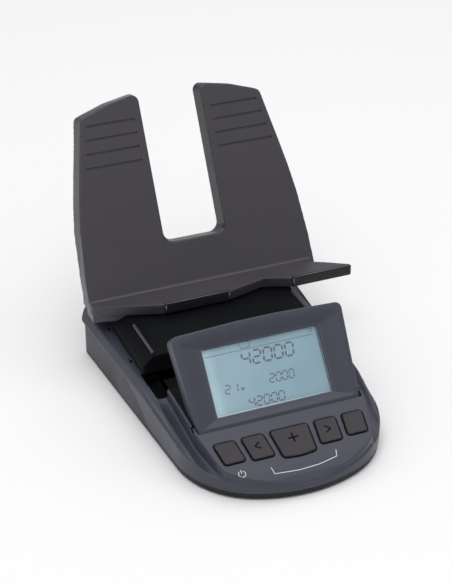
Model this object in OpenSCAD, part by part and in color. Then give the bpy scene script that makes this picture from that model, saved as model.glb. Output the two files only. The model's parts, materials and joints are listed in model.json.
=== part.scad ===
// Money scale with a folding display, a lift-off banknote tray and five keys.
// Millimetres. X to the right, Y to the back, Z up. The origin is the middle of the footprint, on
// the table. Sizes along Y are given from the banknote line, where the notes meet the tray's back.

/* [Housing] */
// Radius of the round front, seen from above
front_r = 75; // [70:1:82]
// Radius of the front corners, seen from above
corner_r = 46; // [42:1:50]
// Angle at which the front radius meets a corner radius
corner_start = 23.6; // [20:0.2:26]
// Distance of the banknote line behind the middle of the footprint
note_line = 62.5; // [60:0.5:65]
// Front end of the housing, in front of the banknote line
front_y = 151; // [148:1:156]
// Rear end of the lower housing, behind the banknote line
rear_y = 25.5; // [24:0.5:30]
// How much a side runs outward for each millimetre towards the back
side_taper = 0.068; // [0.05:0.002:0.08]
// Radius of the two rear corners
rear_corner_r = 5; // [3:0.5:7]
// Wall of the two housings
wall = 2; // [1.6:0.1:2.4]
// Thickness of the bottom
floor_t = 2; // [1.8:0.1:2.4]
// Gap under the bottom, held open by the feet
foot_h = 1; // [0.6:0.1:1.6]
// Height of the parting line at the back
seam_rear = 19.5; // [18:0.5:21]
// Height of the parting line at the front
seam_front = 3.6; // [3.4:0.1:4.4]
// Height of the shelf beside the platform
shelf_z = 24.5; // [24:0.25:25.5]
// Width of the slanted shoulder outside the shelf
shoulder_w = 2.5; // [1.5:0.1:3.5]
// Height of the hump behind the platform
hump_z = 36; // [34:0.5:37]
// How far the hump stands out behind the lower housing
hump_out = 4; // [2:0.5:6]
// Gap between two parts of the housing that only lie beside each other
part_gap = 0.3; // [0.2:0.05:0.4]

/* [Console] */
// Place of the console's top edge, in front of the display
panel_y = -112; // [-113:0.5:-111.5]
// Height of the console's top edge
panel_z = 24.3; // [23.5:0.1:25]
// Slope of the key panel
panel_tilt = 20; // [18:0.5:22]
// Half the width of the key panel near its front end
panel_front_w = 38.5; // [37:0.5:40]
// Slope of the ridges beside the display well
ridge_tilt = 8.7; // [7:0.1:10]
// Thickness of a ridge
ridge_t = 1.5; // [1.4:0.1:1.8]
// Radius of the channels outside the console
channel_r = 8; // [7:0.5:9]

/* [Display] */
// Height of the display frame
frame_h = 55; // [52:0.5:57]
// Half the width of the display frame at its lower edge
frame_low_w = 46.6; // [45:0.2:47.6]
// Half the width of the display frame at its upper edge
frame_top_w = 49.5; // [48:0.2:50]
// Thickness of the display
frame_t = 10; // [9.5:0.1:10.5]
// Wall of the display frame
frame_wall = 1.8; // [1.5:0.1:2]
// Radius of the display frame's upper corners
frame_corner_r = 3.5; // [3:0.5:8]
// Lean of the raised display, from the vertical
display_lean = 38.9; // [36:0.1:41]
// Height of the raised display's lower front edge
frame_low_z = 22.4; // [21.6:0.1:23]
// Distance of the raised display's lower front edge from the console's top edge
frame_gap = 1.3; // [1:0.1:1.6]
// Half the width of the glass that is seen
lcd_w = 33.7; // [30:0.5:36]
// Lower edge of the glass that is seen, above the frame's lower edge
lcd_low = 7; // [6:0.5:9]
// Height of the glass that is seen
lcd_h = 37; // [34:0.5:38]
// Depth of the slanted border round the glass
funnel_d = 2.4; // [1.8:0.1:3]
// Flat rim outside the slanted border
funnel_rim = 2.6; // [2:0.1:4]
// Thickness of the clear window
window_t = 1; // [0.8:0.1:1.2]
// Thickness of the liquid crystal panel
panel_lcd_t = 2.4; // [2:0.1:2.6]
// Thickness of every circuit board
board_t = 1.2; // [1:0.1:1.6]
// Radius of the hinge pins
pin_r = 1.4; // [1.2:0.05:1.5]
// Hinge axis behind the display's front face
hinge_in = 3.2; // [3.1:0.05:3.6]
// Hinge axis above the display's lower edge
hinge_up = 4; // [3.7:0.1:4.4]
// Running clearance round a pin or peg
run_gap = 0.08; // [0.05:0.01:0.1]
// Gap between the display's sides and the well
well_gap = 0.6; // [0.5:0.05:0.8]

/* [Keys] */
// Rear edge of the key row, down the panel from its top edge
key_row = 8.3; // [8:0.1:9.5]
// Gap round each key
key_gap = 0.45; // [0.35:0.05:0.6]
// How far the keys stand out of the panel
key_out = 0.8; // [0.4:0.1:1.2]
// Travel of a key
key_travel = 1.2; // [0.8:0.1:1.4]
// Width of the flange that keeps a key in the panel
key_flange = 0.7; // [0.5:0.1:0.9]
// Thickness of that flange
key_flange_t = 1; // [0.8:0.1:1.2]
// Thickness of the key panel
panel_t = 2; // [1.8:0.1:2.2]
// Thickness of the rubber mat
mat_t = 1; // [0.8:0.1:1.2]
// Height of a rubber dome above the mat
dome_h = 0.7; // [0.5:0.1:0.9]

/* [Platform] */
// Height of the platform's top
platform_z = 36.4; // [36:0.1:36.6]
// Half the width of the platform's flat top
platform_w = 49.5; // [48:0.5:50]
// Width of the slanted side of the platform
platform_side = 6; // [5:0.25:6.5]
// Drop of the slanted side
platform_drop = 5.9; // [5:0.1:6.5]
// Front end of the platform
platform_front = -49.5; // [-50.5:0.5:-48.5]
// Rear end of the platform
platform_rear = 12.5; // [12:0.1:12.8]
// Wall of the platform
platform_t = 2.4; // [2:0.1:2.6]
// Gap between the platform and the shelf
platform_gap = 1.2; // [1:0.1:1.6]
// Distance of the two ribs from the centre plane
rib_x = 48.5; // [47:0.1:48.7]
// Width of a rib
rib_w = 1.5; // [1:0.1:1.6]
// Height of a rib above the platform's top
rib_h = 0.9; // [0.5:0.1:1]

/* [Weighing cell] */
// Length of the weighing cell
cell_l = 80; // [76:1:84]
// Width and height of the weighing cell
cell_s = 12.7; // [12:0.1:13]
// Middle of the weighing cell, behind the banknote line
cell_y = 6.6; // [6.4:0.1:6.8]
// Height of the weighing cell's lower face
cell_z = 9; // [8.5:0.25:9.5]
// Distance of its screws from its ends
cell_hole = 6; // [5:0.5:7]
// Distance between the two screws at one end
cell_pitch = 12; // [10:0.5:14]
// Thickness of the steel plates over and under the cell
plate_t = 2; // [1.5:0.1:2.5]

/* [Banknote tray] */
// Offset of the tray from the centre plane
tray_x = 2; // [0:0.25:3]
// Height of the ledge's top
ledge_z = 43.5; // [43:0.25:46]
// Height of the ledge's skirt
ledge_skirt = 6.1; // [5:0.1:6.5]
// Wall of the tray
tray_t = 2.5; // [2:0.1:3]
// Lean of the tray's back, from the vertical
tray_lean = 28.3; // [25:0.1:30]
// Front face of the tray's back, where it meets the ledge
back_y = 4.5; // [4:0.25:5.5]
// Height of the back's outer corners along the back
wing_outer = 102.5; // [98:0.5:106]
// Height of the back's inner corners along the back
wing_inner = 112; // [106:0.5:114]
// Half the width of the gap between the wings
wing_gap = 18.9; // [16:0.1:22]
// Lower end of the gap between the wings, along the back
wing_low = 25; // [20:1:40]
// Depth of the back's edge flanges
flange_d = 11; // [8:0.5:12]
// Length of the two pegs under the tray
peg_l = 9; // [7:0.5:10]
// Radius of the two pegs
peg_r = 3; // [2.5:0.1:3.5]
// Distance of the pegs from the centre plane
peg_x = 38; // [34:0.5:40]
// Place of the pegs, from the banknote line
peg_y = -2; // [-3:0.25:-1]

/* [Power] */
// Radius of a battery cell
battery_r = 7.1; // [7:0.05:7.25]
// Length of a battery cell
battery_l = 50; // [49:0.5:50.5]
// Wall of the battery box
box_wall = 1.5; // [1.2:0.1:1.8]
// Rear inner face of the battery box
box_rear = -1.6; // [-2.5:0.1:-1.5]
// Gap round the battery door
door_gap = 0.3; // [0.2:0.05:0.4]
// Radius of the power inlet's opening
inlet_r = 3; // [2.8:0.1:3.2]

/* [Fasteners] */
// Radius of a housing screw
screw_r = 1.25; // [1.1:0.05:1.4]
// Radius of a housing screw's head
head_r = 2.7; // [2.4:0.1:3]
// Height of a housing screw's head
head_h = 1.6; // [1.2:0.1:2]
// Radius of the rubber feet
foot_r = 6; // [5:0.25:7]

/* [Hidden] */
$fn = 48;
eps = 0.01;
far = 200;

// ---- shapes shared by several parts ----

function mirrored(points) = concat(points, [for (i = [len(points) - 1:-1:0]) [-points[i].x, points[i].y]]);

function arc(centre, r, from, to, steps) =
    [for (i = [0:steps]) let (a = from + (to - from) * i / steps) centre + r * [cos(a), sin(a)]];

// One corner of an outline, rounded with radius r.
function corner(before, at, after, r) =
    let (a = (before - at) / norm(before - at), b = (after - at) / norm(after - at))
    let (half = acos(a * b) / 2, c = at + (a + b) / norm(a + b) * r / sin(half))
    let (p = at + a * r / tan(half) - c, q = at + b * r / tan(half) - c)
    [for (i = [0:4]) let (v = p * (4 - i) + q * i) c + r * v / norm(v)];

// An outline whose corners are rounded, each with its own radius.
function rounded(points, radii) = let (n = len(points))
    [for (i = [0:n - 1]) each radii[i] == 0 ? [points[i]]
        : corner(points[(i + n - 1) % n], points[i], points[(i + 1) % n], radii[i])];

// A side outline [y, z], extruded across the width.
module across(width) {
    rotate([90, 0, 90])
        translate([0, 0, -width / 2])
            linear_extrude(width)
                children();
}

module box(low, high) {
    translate(low) cube(high - low);
}

// Puts a part that is drawn from the banknote line in its place over the origin.
module home() {
    translate([0, note_line, 0]) children();
}

// ---- housing ----

taper_angle = atan(side_taper);
front_c = [0, front_r - front_y];
corner_c = front_c + (front_r - corner_r) * [sin(corner_start), -cos(corner_start)];
side_start = corner_c + corner_r * [cos(taper_angle), -sin(taper_angle)];
floor_z = foot_h + floor_t;
hump_y = rear_y + hump_out;
hump_front = platform_rear + 1;

// Half the width of the housing at y, less an inset.
function side_w(y, inset) = side_start.x + side_taper * (y - side_start.y) - inset / cos(taper_angle);

// The housing seen from above, less an inset, with its rear end at y.
function plan(inset, rear) = mirrored(concat(
    arc(front_c, front_r - inset, -90, corner_start - 90, 5),
    arc(corner_c, corner_r - inset, corner_start - 90 + 6, -taper_angle, 9),
    corner([side_w(0, inset), 0], [side_w(rear - inset, inset), rear - inset], [0, rear - inset],
        max(rear_corner_r - inset, 1))));

// The parting line from back to front, less a drop.
function seam(drop) = [[far, seam_rear - drop], [-34, seam_rear - drop], [-46, 16.5 - drop],
    [-59, 10.5 - drop], [-72, seam_front - drop], [-far, seam_front - drop]];

// The top of the rim from the shelf to the front, less a drop.
function rim(drop) = [[hump_front, shelf_z - drop], [-44, shelf_z - drop], [-54, 22.6 - drop],
    [-66, 20.6 - drop], [-82, 18.7 - drop], [-100, 17.2 - drop], [-116, 15.3 - drop],
    [-130, 12.8 - drop], [-142, 10 - drop], [-front_y + 3, 8.3 - drop], [-front_y, 6.5 - drop]];

// The side view of the upper housing, less an inset.
function upper_side(inset) = concat(
    [[-front_y, -1], [hump_y - 1.2 - inset, -1], [hump_y - 1.2 - inset, seam_rear],
        [hump_y - inset, 23], [hump_y - 0.8 - inset, 28], [hump_y - 3 - inset, 33],
        [hump_y - 7 - inset, hump_z - inset], [hump_front + inset, hump_z - inset]],
    [for (p = rim(inset)) p == rim(inset)[0] ? p + [inset, 0] : p]);

// A point of the key panel: x across, s down the slope from its top edge, h above its surface.
panel_down = [-cos(panel_tilt), -sin(panel_tilt)];
module on_panel() {
    translate([0, panel_y, panel_z]) rotate([panel_tilt, 0, 0]) children();
}

ridge_rear = -74;
ridge_rear_z = panel_z + (ridge_rear - panel_y) * tan(ridge_tilt);

// Half the width of the display well at y, and of the console outside it.
function well_w(y) = frame_low_w + well_gap
    + (frame_top_w - frame_low_w) * (y - panel_y) / (frame_h * cos(ridge_tilt));
console_side_t = 0.6;
function console_plan(inset) = let (i = inset * console_side_t)
    mirrored([[panel_front_w - 3.5 - i, -front_y + 1], [panel_front_w - i, -front_y + 6],
        [44.4 - i, -130], [well_w(panel_y) + ridge_t - i, panel_y],
        [well_w(ridge_rear) + ridge_t - i, ridge_rear]]);
panel_end = -front_y + 10;
console_end = -front_y + 1.4;
function console_side(drop) = [[ridge_rear, 4], [ridge_rear, ridge_rear_z - drop],
    [panel_y, panel_z - drop], [panel_end, panel_z - drop - (panel_y - panel_end) * tan(panel_tilt)],
    [-front_y + 4.5, 11 - drop], [console_end, 8.2 - drop], [console_end, 4]];

// One channel outside the console, as a cutter; grow widens it for the shell's underside.
channel_rear = [-52.5, -80, 22.5];
channel_front = [-47, -135, 9.8];
module channel(grow) {
    run = channel_front - channel_rear;
    for (side = [0, 1])
        mirror([side, 0, 0])
            translate(channel_rear + [0, 0, channel_r])
                rotate([0, acos(run.z / norm(run)), atan2(run.y, run.x)])
                    translate([0, 0, -4 - grow])
                        cylinder(h = norm(run) + 26, r = channel_r + grow);
}

// The bank between the rim and the console, higher than the rim near the well's rear.
function bank(drop) = [[-44, 8], [-44, shelf_z - drop], [-73, 25.5 - drop], [-80, 24.2 - drop],
    [-100, 19.6 - drop], [-114, 16 - drop], [-132, 11.5 - drop], [-132, 4]];
bank_in = 1.2;

shoulder_low = 0.5;
module shoulder(inset) {
    drop = shelf_z - seam_rear - shoulder_low;
    for (side = [0, 1])
        mirror([side, 0, 0])
            translate([side_w(0, inset), 0, seam_rear + shoulder_low])
                rotate([0, 0, -taper_angle])
                    rotate([0, -atan(shoulder_w / drop), 0])
                        translate([0, -far, 0])
                            cube([20, 2 * far, 40]);
}

module upper_solid(inset) {
    difference() {
        union() {
            intersection() {
                linear_extrude(60) polygon(plan(inset, hump_y));
                across(far) polygon(upper_side(inset));
            }
            intersection() {
                linear_extrude(60) polygon(plan(inset + bank_in, hump_y));
                across(far) polygon(bank(inset));
            }
        }
        channel(inset);
        shoulder(inset);
    }
    intersection() {
        linear_extrude(60) polygon(console_plan(inset));
        linear_extrude(60) polygon(plan(inset + 1, hump_y));
        across(far) polygon(console_side(inset));
    }
}

boss_r = 3.2;
boss_y = [17, -96];
boss_x = [side_w(boss_y[0], wall + boss_r + 1), side_w(boss_y[1], wall + boss_r + 0.4)];
boss_split = [12, 7.2];
screw_places = [for (i = [0, 1], side = [1, -1]) [side * boss_x[i], boss_y[i], boss_split[i]]];
well_front = panel_y + 0.9;
notch = [[-56, -46.5], [-40, -46.5], [-40, -72.8], [-56, -72.8]];

module upper_bosses() {
    for (p = screw_places)
        translate(p)
            cylinder(h = 30, r = boss_r);
}

module keypad_posts() {
    on_panel()
        for (x = post_x)
            translate([x, -post_s, -mat_under])
                cylinder(h = mat_under, r = 2.2);
}

module well_opening() {
    linear_extrude(high_cut)
        polygon(mirrored([[well_w(well_front), well_front], [well_w(well_rear), well_rear]]));
    box([-platform_open, platform_front + 0.5, 0], [platform_open, hump_front, high_cut]);
    linear_extrude(high_cut) polygon(rounded(notch, [notch_r, 0, 0, notch_r]));
}

platform_open = platform_w + 3.2;
well_rear = platform_front + 1.5;
high_cut = 60;
notch_r = 2;
slot_size = [1.2, 5];
slot_y = [5, -28];

module upper_housing() color("dimgray") home() {
    difference() {
        union() {
            difference() {
                upper_solid(0);
                upper_solid(wall);
                well_opening();
            }
            intersection() {
                union() {
                    upper_bosses();
                    keypad_posts();
                }
                upper_solid(wall / 2);
            }
        }
        across(far) polygon(concat([[-far, -5]], [for (i = [5:-1:0]) seam(0)[i]], [[far, -5]]));
        for (p = screw_places)
            translate([p.x, p.y, 0])
                cylinder(h = p.z + 5, r = screw_r);
        keypad_cuts();
        hinge_bores();
        on_panel()
            for (x = post_x)
                translate([x, -post_s, -mat_under - 1])
                    cylinder(h = board_screw_l, r = board_screw_r);
        for (side = [-1, 1], y = slot_y)
            translate([side * (platform_open + 1.6), y, shelf_z - wall - 1])
                linear_extrude(9)
                    square(slot_size, center = true);
    }
}

hinge_y = panel_y + frame_gap + hinge_in * cos(display_lean) + hinge_up * sin(display_lean);
hinge_z = frame_low_z - hinge_in * sin(display_lean) + hinge_up * cos(display_lean);
pin_in = 39.5;
pin_end = well_w(hinge_y) + ridge_t - 0.45;

// Blind holes in the well's sides, which carry the ends of the hinge pins.
module hinge_bores() {
    for (side = [-1, 1])
        translate([side * pin_in, hinge_y, hinge_z])
            rotate([0, side * 90, 0])
                cylinder(h = pin_end - pin_in + run_gap, r = pin_r + run_gap);
}

lower_in = 0.4;
module lower_side() {
    polygon(concat([[-far, foot_h], [far, foot_h]], seam(0)));
}

module lower_housing() color("dimgray") home() {
    difference() {
        union() {
            difference() {
                intersection() {
                    linear_extrude(40) polygon(plan(lower_in, rear_y));
                    across(far) lower_side();
                }
                translate([0, 0, floor_z])
                    linear_extrude(40)
                        polygon(plan(wall, rear_y));
            }
            for (p = screw_places)
                translate([p.x, p.y, foot_h])
                    cylinder(h = p.z - foot_h, r = boss_r);
            battery_box();
            lower_posts();
        }
        for (p = screw_places) {
            translate([p.x, p.y, -1])
                cylinder(h = 40, r = screw_r + 0.3);
            translate([p.x, p.y, -1])
                cylinder(h = foot_h + 1 + head_h + 0.6, r = head_r + 0.3);
        }
        for (p = foot_places)
            translate([p.x, p.y, -1])
                cylinder(h = 1 + foot_h + foot_sunk, r = foot_r);
        door_opening();
        translate([inlet_x, rear_y + 1, inlet_z])
            rotate([90, 0, 0])
                cylinder(h = wall + 2, r = inlet_r + 1.2);
        cell_screw_holes();
        board_post_holes();
        battery_bays();
    }
}

foot_sunk = 0.8;
foot_places = [[-50, 3], [50, 3], [-40, -118], [40, -118]];

module foot(i) color("black") home() {
    translate([foot_places[i].x, foot_places[i].y, 0])
        cylinder(h = foot_h + foot_sunk, r = foot_r);
}

module housing_screws() color("silver") home() {
    for (p = screw_places)
        translate([p.x, p.y, foot_h + 0.6]) {
            cylinder(h = head_h, r = head_r);
            cylinder(h = p.z + 4 - foot_h, r = screw_r);
        }
}

// The black trough that the folded display lies in.
liner_t = 1.5;
liner_rear = -50.5;
liner_z = 14.2;
function liner_floor(y) = liner_z + (y - well_front) * tan(ridge_tilt);

pocket_z = 17;
pocket = [[-56, -73.3], [-45, -46.2]];
liner_split = -73.5;

// The space of the well, grown sideways and to the back, over a floor lowered by drop.
module liner_well(grow, drop, front) {
    intersection() {
        linear_extrude(60)
            polygon(mirrored([[well_w(front) + grow, front],
                [well_w(liner_rear) + grow, liner_rear + liner_t - grow]]));
        across(far)
            polygon([[-far, liner_floor(-far) - drop], [far, liner_floor(far) - drop], [far, 60], [-far, 60]]);
    }
}

module well_liner() color("black") home() {
    low = shelf_z - wall - 3 * part_gap;
    difference() {
        union() {
            intersection() {
                union() {
                    liner_well(liner_t, liner_t, liner_split);
                    box([pocket[0].x, pocket[0].y, pocket_z - liner_t], [pocket[1].x, pocket[1].y, 60]);
                }
                box([-far, -far, 0], [far, far, low]);
            }
            intersection() {
                liner_well(-part_gap, liner_t, well_front - liner_t);
                box([-far, -far, 0], [far, far, panel_z - wall - 0.7]);
            }
        }
        liner_well(0, 0, well_front);
        box([pocket[0].x + liner_t, pocket[0].y + liner_t, pocket_z],
            [pocket[1].x, pocket[1].y - liner_t, 60]);
    }
}

// ---- keys ----

// Each key: left and right edge at its rear end, left and right edge at its front end, length, and
// how far its front edge bows out.
outer_key = [31.2, 42.5, 29.3, 40.5, 13.2, 0];
inner_key = [15, 26.8, 13.4, 25.2, 14.3, 0];
middle_key = [-10.6, 10.6, -9.2, 9.2, 16.7, 1.2];
key_corner_r = 1.4;
bow_steps = 6;

// The bowed part of a key's front edge, from its right corner to its left corner.
function key_bow(k, grow) = k[5] == 0 ? [] : [for (i = [1:bow_steps - 1]) let (t = i / bow_steps)
    [(k[3] + grow) * (1 - t) + (k[2] - grow) * t, -key_row - k[4] - grow - k[5] * 4 * t * (1 - t)]];

function key_outline(k, grow) = let (bow = key_bow(k, grow))
    rounded(concat([[k[0] - grow, -key_row + grow], [k[1] + grow, -key_row + grow],
        [k[3] + grow, -key_row - k[4] - grow]], bow, [[k[2] - grow, -key_row - k[4] - grow]]),
        concat([key_corner_r, key_corner_r, key_corner_r], [for (p = bow) 0], [key_corner_r]));

key_low = panel_t + key_flange_t;

module key_cap(k) {
    on_panel() {
        translate([0, 0, -key_low])
            linear_extrude(key_low + key_out)
                polygon(key_outline(k, 0));
        translate([0, 0, -key_low])
            linear_extrude(key_flange_t)
                polygon(key_outline(k, key_flange + key_gap));
    }
}

module keypad_cuts() {
    on_panel()
        for (k = [outer_key, inner_key, middle_key], side = k == middle_key ? [0] : [0, 1])
            mirror([side, 0, 0])
                translate([0, 0, -panel_t - 1])
                    linear_extrude(20)
                        polygon(key_outline(k, key_gap));
}

module key_power() color([0.2, 0.19, 0.21]) home() mirror([1, 0, 0]) key_cap(outer_key);
module key_back() color([0.2, 0.19, 0.21]) home() mirror([1, 0, 0]) key_cap(inner_key);
module key_plus() color([0.2, 0.19, 0.21]) home() key_cap(middle_key);
module key_next() color([0.2, 0.19, 0.21]) home() key_cap(inner_key);
module key_mode() color([0.2, 0.19, 0.21]) home() key_cap(outer_key);

dome_top = key_low + key_travel + 0.2;
mat_top = dome_top + dome_h;
mat_under = mat_top + mat_t;
mat_side = [[41.3, 7.5], [41.3, 19], [38, 25.6]];
board_side = [[40.5, 7], [40.5, 19], [31.5, 31.5]];
dome_s = key_row + 7.5;
dome_x = [-36, -20, 0, 20, 36];
post_x = [-28, 28];
post_s = 28.4;
board_screw_r = 1;
board_screw_l = 5;

// An outline on the panel, given by its right side as [x, distance down the slope].
function down_panel(points) = mirrored([for (p = points) [p.x, -p.y]]);

module key_mat() color([0.25, 0.25, 0.26]) home() {
    on_panel() {
        translate([0, 0, -mat_under])
            linear_extrude(mat_t)
                polygon(down_panel(mat_side));
        for (x = dome_x)
            translate([x, -dome_s, -mat_top])
                cylinder(h = dome_h, r = 3.4);
    }
}

module key_board() color("darkgreen") home() {
    on_panel()
        difference() {
            translate([0, 0, -mat_under - board_t])
                linear_extrude(board_t)
                    polygon(down_panel(board_side));
            for (x = post_x)
                translate([x, -post_s, -far / 2])
                    cylinder(h = far, r = board_screw_r);
        }
}

module key_board_screws() color("silver") home() {
    on_panel()
        for (x = post_x)
            translate([x, -post_s, -mat_under - board_t]) {
                translate([0, 0, -1]) cylinder(h = 1, r = 2);
                cylinder(h = board_screw_l - 1, r = board_screw_r);
            }
}

// ---- display ----

// Local frame of the display: X across, Y into its thickness, Z up its face.
module on_display() {
    translate([0, panel_y + frame_gap, frame_low_z]) rotate([-display_lean, 0, 0]) children();
}

module face_up(depth) {
    rotate([90, 0, 0]) translate([0, 0, -depth]) linear_extrude(depth) children();
}

function frame_outline(inset) = rounded(mirrored([[frame_low_w - inset, inset],
    [frame_top_w - inset, frame_h - 1.5 - inset], [12, frame_h - inset]]),
    [1, frame_corner_r - inset, 0, 0, frame_corner_r - inset, 1]);

module prism(low_outline, high_outline, low_y, high_y) {
    n = len(low_outline);
    points = concat([for (p = low_outline) [p.x, low_y, p.y]], [for (p = high_outline) [p.x, high_y, p.y]]);
    sides = [for (i = [0:n - 1]) [i, (i + 1) % n, n + (i + 1) % n, n + i]];
    polyhedron(points, concat([[for (i = [n - 1:-1:0]) i], [for (i = [0:n - 1]) n + i]], sides));
}

lcd_outline = [[-lcd_w, lcd_low], [lcd_w, lcd_low], [lcd_w, lcd_low + lcd_h], [-lcd_w, lcd_low + lcd_h]];
rim_outline = [[-frame_low_w + funnel_rim, funnel_rim], [frame_low_w - funnel_rim, funnel_rim],
    [frame_top_w - funnel_rim - 1, frame_h - 3 - funnel_rim],
    [-frame_top_w + funnel_rim + 1, frame_h - 3 - funnel_rim]];
cover_t = 1.5;
stack_d = funnel_d + 1.2;
inner_margin = 3;
lug_w = 9;

module display_frame() color("dimgray") home() {
    on_display()
        difference() {
            face_up(frame_t) polygon(frame_outline(0));
            difference() {
                translate([0, stack_d, 0])
                    face_up(frame_t)
                        polygon(frame_outline(frame_wall));
                for (side = [-1, 1])
                    translate([side * (frame_low_w - lug_w / 2), 0, 0])
                        box([-lug_w / 2, 0, 0], [lug_w / 2, frame_t - cover_t, 2 * hinge_up]);
            }
            prism(rim_outline, lcd_outline, -eps, funnel_d);
            face_up(stack_d + 1)
                polygon(lcd_outline);
            for (side = [-1, 1])
                translate([side * pin_in, hinge_in, hinge_up])
                    rotate([0, side * 90, 0])
                        cylinder(h = 20, r = pin_r);
            for (p = cover_screws)
                translate([p.x, frame_t, p.y])
                    rotate([90, 0, 0])
                        cylinder(h = frame_t - hinge_in - pin_r - 0.3, r = cover_screw_r);
        }
}

module display_slab(margin, depth, t) {
    on_display()
        translate([0, depth, 0])
            face_up(t)
                polygon([[-lcd_w - margin, lcd_low - margin / 3], [lcd_w + margin, lcd_low - margin / 3],
                    [lcd_w + margin, lcd_low + lcd_h + margin], [-lcd_w - margin, lcd_low + lcd_h + margin]]);
}

window_d = stack_d;
panel_d = window_d + window_t;
board_d = panel_d + panel_lcd_t;

module display_window() color("lightblue", 0.4) home() display_slab(inner_margin, window_d, window_t);
module display_panel() color("lightblue") home() display_slab(inner_margin, panel_d, panel_lcd_t);

module display_board() color("darkgreen") home() display_slab(inner_margin, board_d, board_t);

cover_screws = [[-42, 5.6], [42, 5.6]];
cover_screw_r = 1;
cover_head_r = 2;
cover_head_h = 0.8;

module cover_holes(r, depth) {
    for (p = cover_screws)
        translate([p.x, frame_t, p.y])
            rotate([90, 0, 0])
                translate([0, 0, -eps])
                    cylinder(h = depth + eps, r = r);
}

module display_cover() color("dimgray") home() {
    on_display()
        difference() {
            translate([0, frame_t - cover_t, 0])
                face_up(cover_t)
                    polygon(frame_outline(frame_wall + 0.1));
            cover_holes(cover_screw_r, 4);
            cover_holes(cover_head_r + 0.1, cover_head_h);
        }
}

module display_screws() color("silver") home() {
    on_display()
        for (p = cover_screws)
            translate([p.x, frame_t - cover_head_h, p.y])
                rotate([90, 0, 0]) {
                    cylinder(h = 4, r = cover_screw_r);
                    translate([0, 0, -cover_head_h + 0.1]) cylinder(h = cover_head_h - 0.1, r = cover_head_r);
                }
}

module hinge_pin(side) color("silver") home() {
    translate([side * pin_in, hinge_y, hinge_z])
        rotate([0, side * 90, 0])
            cylinder(h = pin_end - pin_in, r = pin_r);
}

// ---- platform and weighing cell ----

skirt_z = shelf_z + platform_gap;
function platform_section(inset) = let (w = platform_w, o = platform_w + platform_side)
    mirrored([[o - inset, skirt_z - (inset > 0 ? 1 : 0)], [o - inset, platform_z - platform_drop - inset * 0.4],
        [w - inset * 0.4, platform_z - inset]]);
peg_hole_r = peg_r + run_gap;

module platform() color("black") home() {
    front = platform_front;
    difference() {
        union() {
            difference() {
                platform_block(0, front, platform_rear);
                platform_block(platform_t, front + platform_t, platform_rear - platform_t);
            }
            for (x = cell_top_x)
                translate([x, cell_y, cell_plate_top])
                    cylinder(h = platform_z - cell_plate_top - 1, r = 4);
            for (side = [-1, 1])
                translate([side * peg_x, peg_y, platform_z - peg_l - 1])
                    cylinder(h = peg_l, r = peg_r + 2);
            for (side = [-1, 1])
                box([side * rib_x - rib_w / 2, front + 2, platform_z - 1],
                    [side * rib_x + rib_w / 2, -16, platform_z + rib_h]);
        }
        for (side = [-1, 1])
            translate([side * peg_x, peg_y, platform_z - peg_l - 0.5])
                cylinder(h = peg_l + 2, r = peg_hole_r);
        for (x = cell_top_x)
            translate([x, cell_y, cell_plate_top - 1])
                cylinder(h = 6, r = screw_r);
    }
}

module platform_block(inset, from, to) {
    translate([0, to, 0])
        rotate([90, 0, 0])
            linear_extrude(to - from)
                polygon(platform_section(inset));
}

cell_base_x = [-cell_l / 2 + cell_hole, -cell_l / 2 + cell_hole + cell_pitch];
cell_top_x = [cell_l / 2 - cell_hole - cell_pitch, cell_l / 2 - cell_hole];
cell_plate_top = cell_z + cell_s + plate_t;
cell_screw_r = 1.6;

module weighing_cell() color("silver") home() {
    difference() {
        box([-cell_l / 2, cell_y - cell_s / 2, cell_z], [cell_l / 2, cell_y + cell_s / 2, cell_z + cell_s]);
        for (x = concat(cell_base_x, cell_top_x))
            translate([x, cell_y, cell_z - 1])
                cylinder(h = cell_s + 2, r = cell_screw_r);
        for (x = [-6, 6])
            translate([x, cell_y - cell_s, cell_z + cell_s / 2])
                rotate([-90, 0, 0])
                    cylinder(h = 2 * cell_s, r = 4.2);
        box([-6, cell_y - cell_s, cell_z + cell_s / 2 - 1.5], [6, cell_y + cell_s, cell_z + cell_s / 2 + 1.5]);
    }
}

module cell_plate(holes, low) {
    difference() {
        box([holes[0] - cell_hole + 1, cell_y - cell_s / 2, low],
            [holes[1] + cell_hole, cell_y + cell_s / 2, low + plate_t]);
        for (x = holes)
            translate([x, cell_y, low - 1])
                cylinder(h = plate_t + 2, r = cell_screw_r);
    }
}

module cell_base_plate() color("gray") home() cell_plate(cell_base_x, cell_z - plate_t);
module cell_top_plate() color("gray") home() cell_plate(cell_top_x, cell_z + cell_s);

module cell_base_screws() color("silver") home() {
    for (x = cell_base_x)
        translate([x, cell_y, foot_h + 0.6]) {
            cylinder(h = 2, r = 2.6);
            cylinder(h = cell_z + 7 - foot_h, r = cell_screw_r);
        }
}

module cell_top_screws() color("silver") home() {
    for (x = cell_top_x)
        translate([x, cell_y, cell_z - 2]) {
            cylinder(h = 2, r = 2.6);
            cylinder(h = cell_plate_top + 4 - cell_z + 2, r = screw_r);
        }
}

module lower_posts() {
    for (x = cell_base_x)
        translate([x, cell_y, foot_h])
            cylinder(h = cell_z - plate_t - foot_h, r = 4);
    for (p = board_posts)
        translate([p.x, p.y, foot_h])
            cylinder(h = board_z - foot_h, r = 2.5);
}

module board_post_holes() {
    for (p = board_posts)
        translate([p.x, p.y, board_z + board_t + 1 - board_screw_l])
            cylinder(h = 20, r = board_screw_r);
}

module cell_screw_holes() {
    for (x = cell_base_x)
        translate([x, cell_y, -1]) {
            cylinder(h = 20, r = cell_screw_r);
            cylinder(h = foot_h + 3.6, r = 2.9);
        }
}

// ---- banknote tray ----

// Half the width of the tray's back at each height along it.
back_sides = [[70, -6], [69.3, 12], [66.8, 40], [64.3, 56], [60.9, 73], [57.3, 90], [54.7, wing_outer]];

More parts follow.
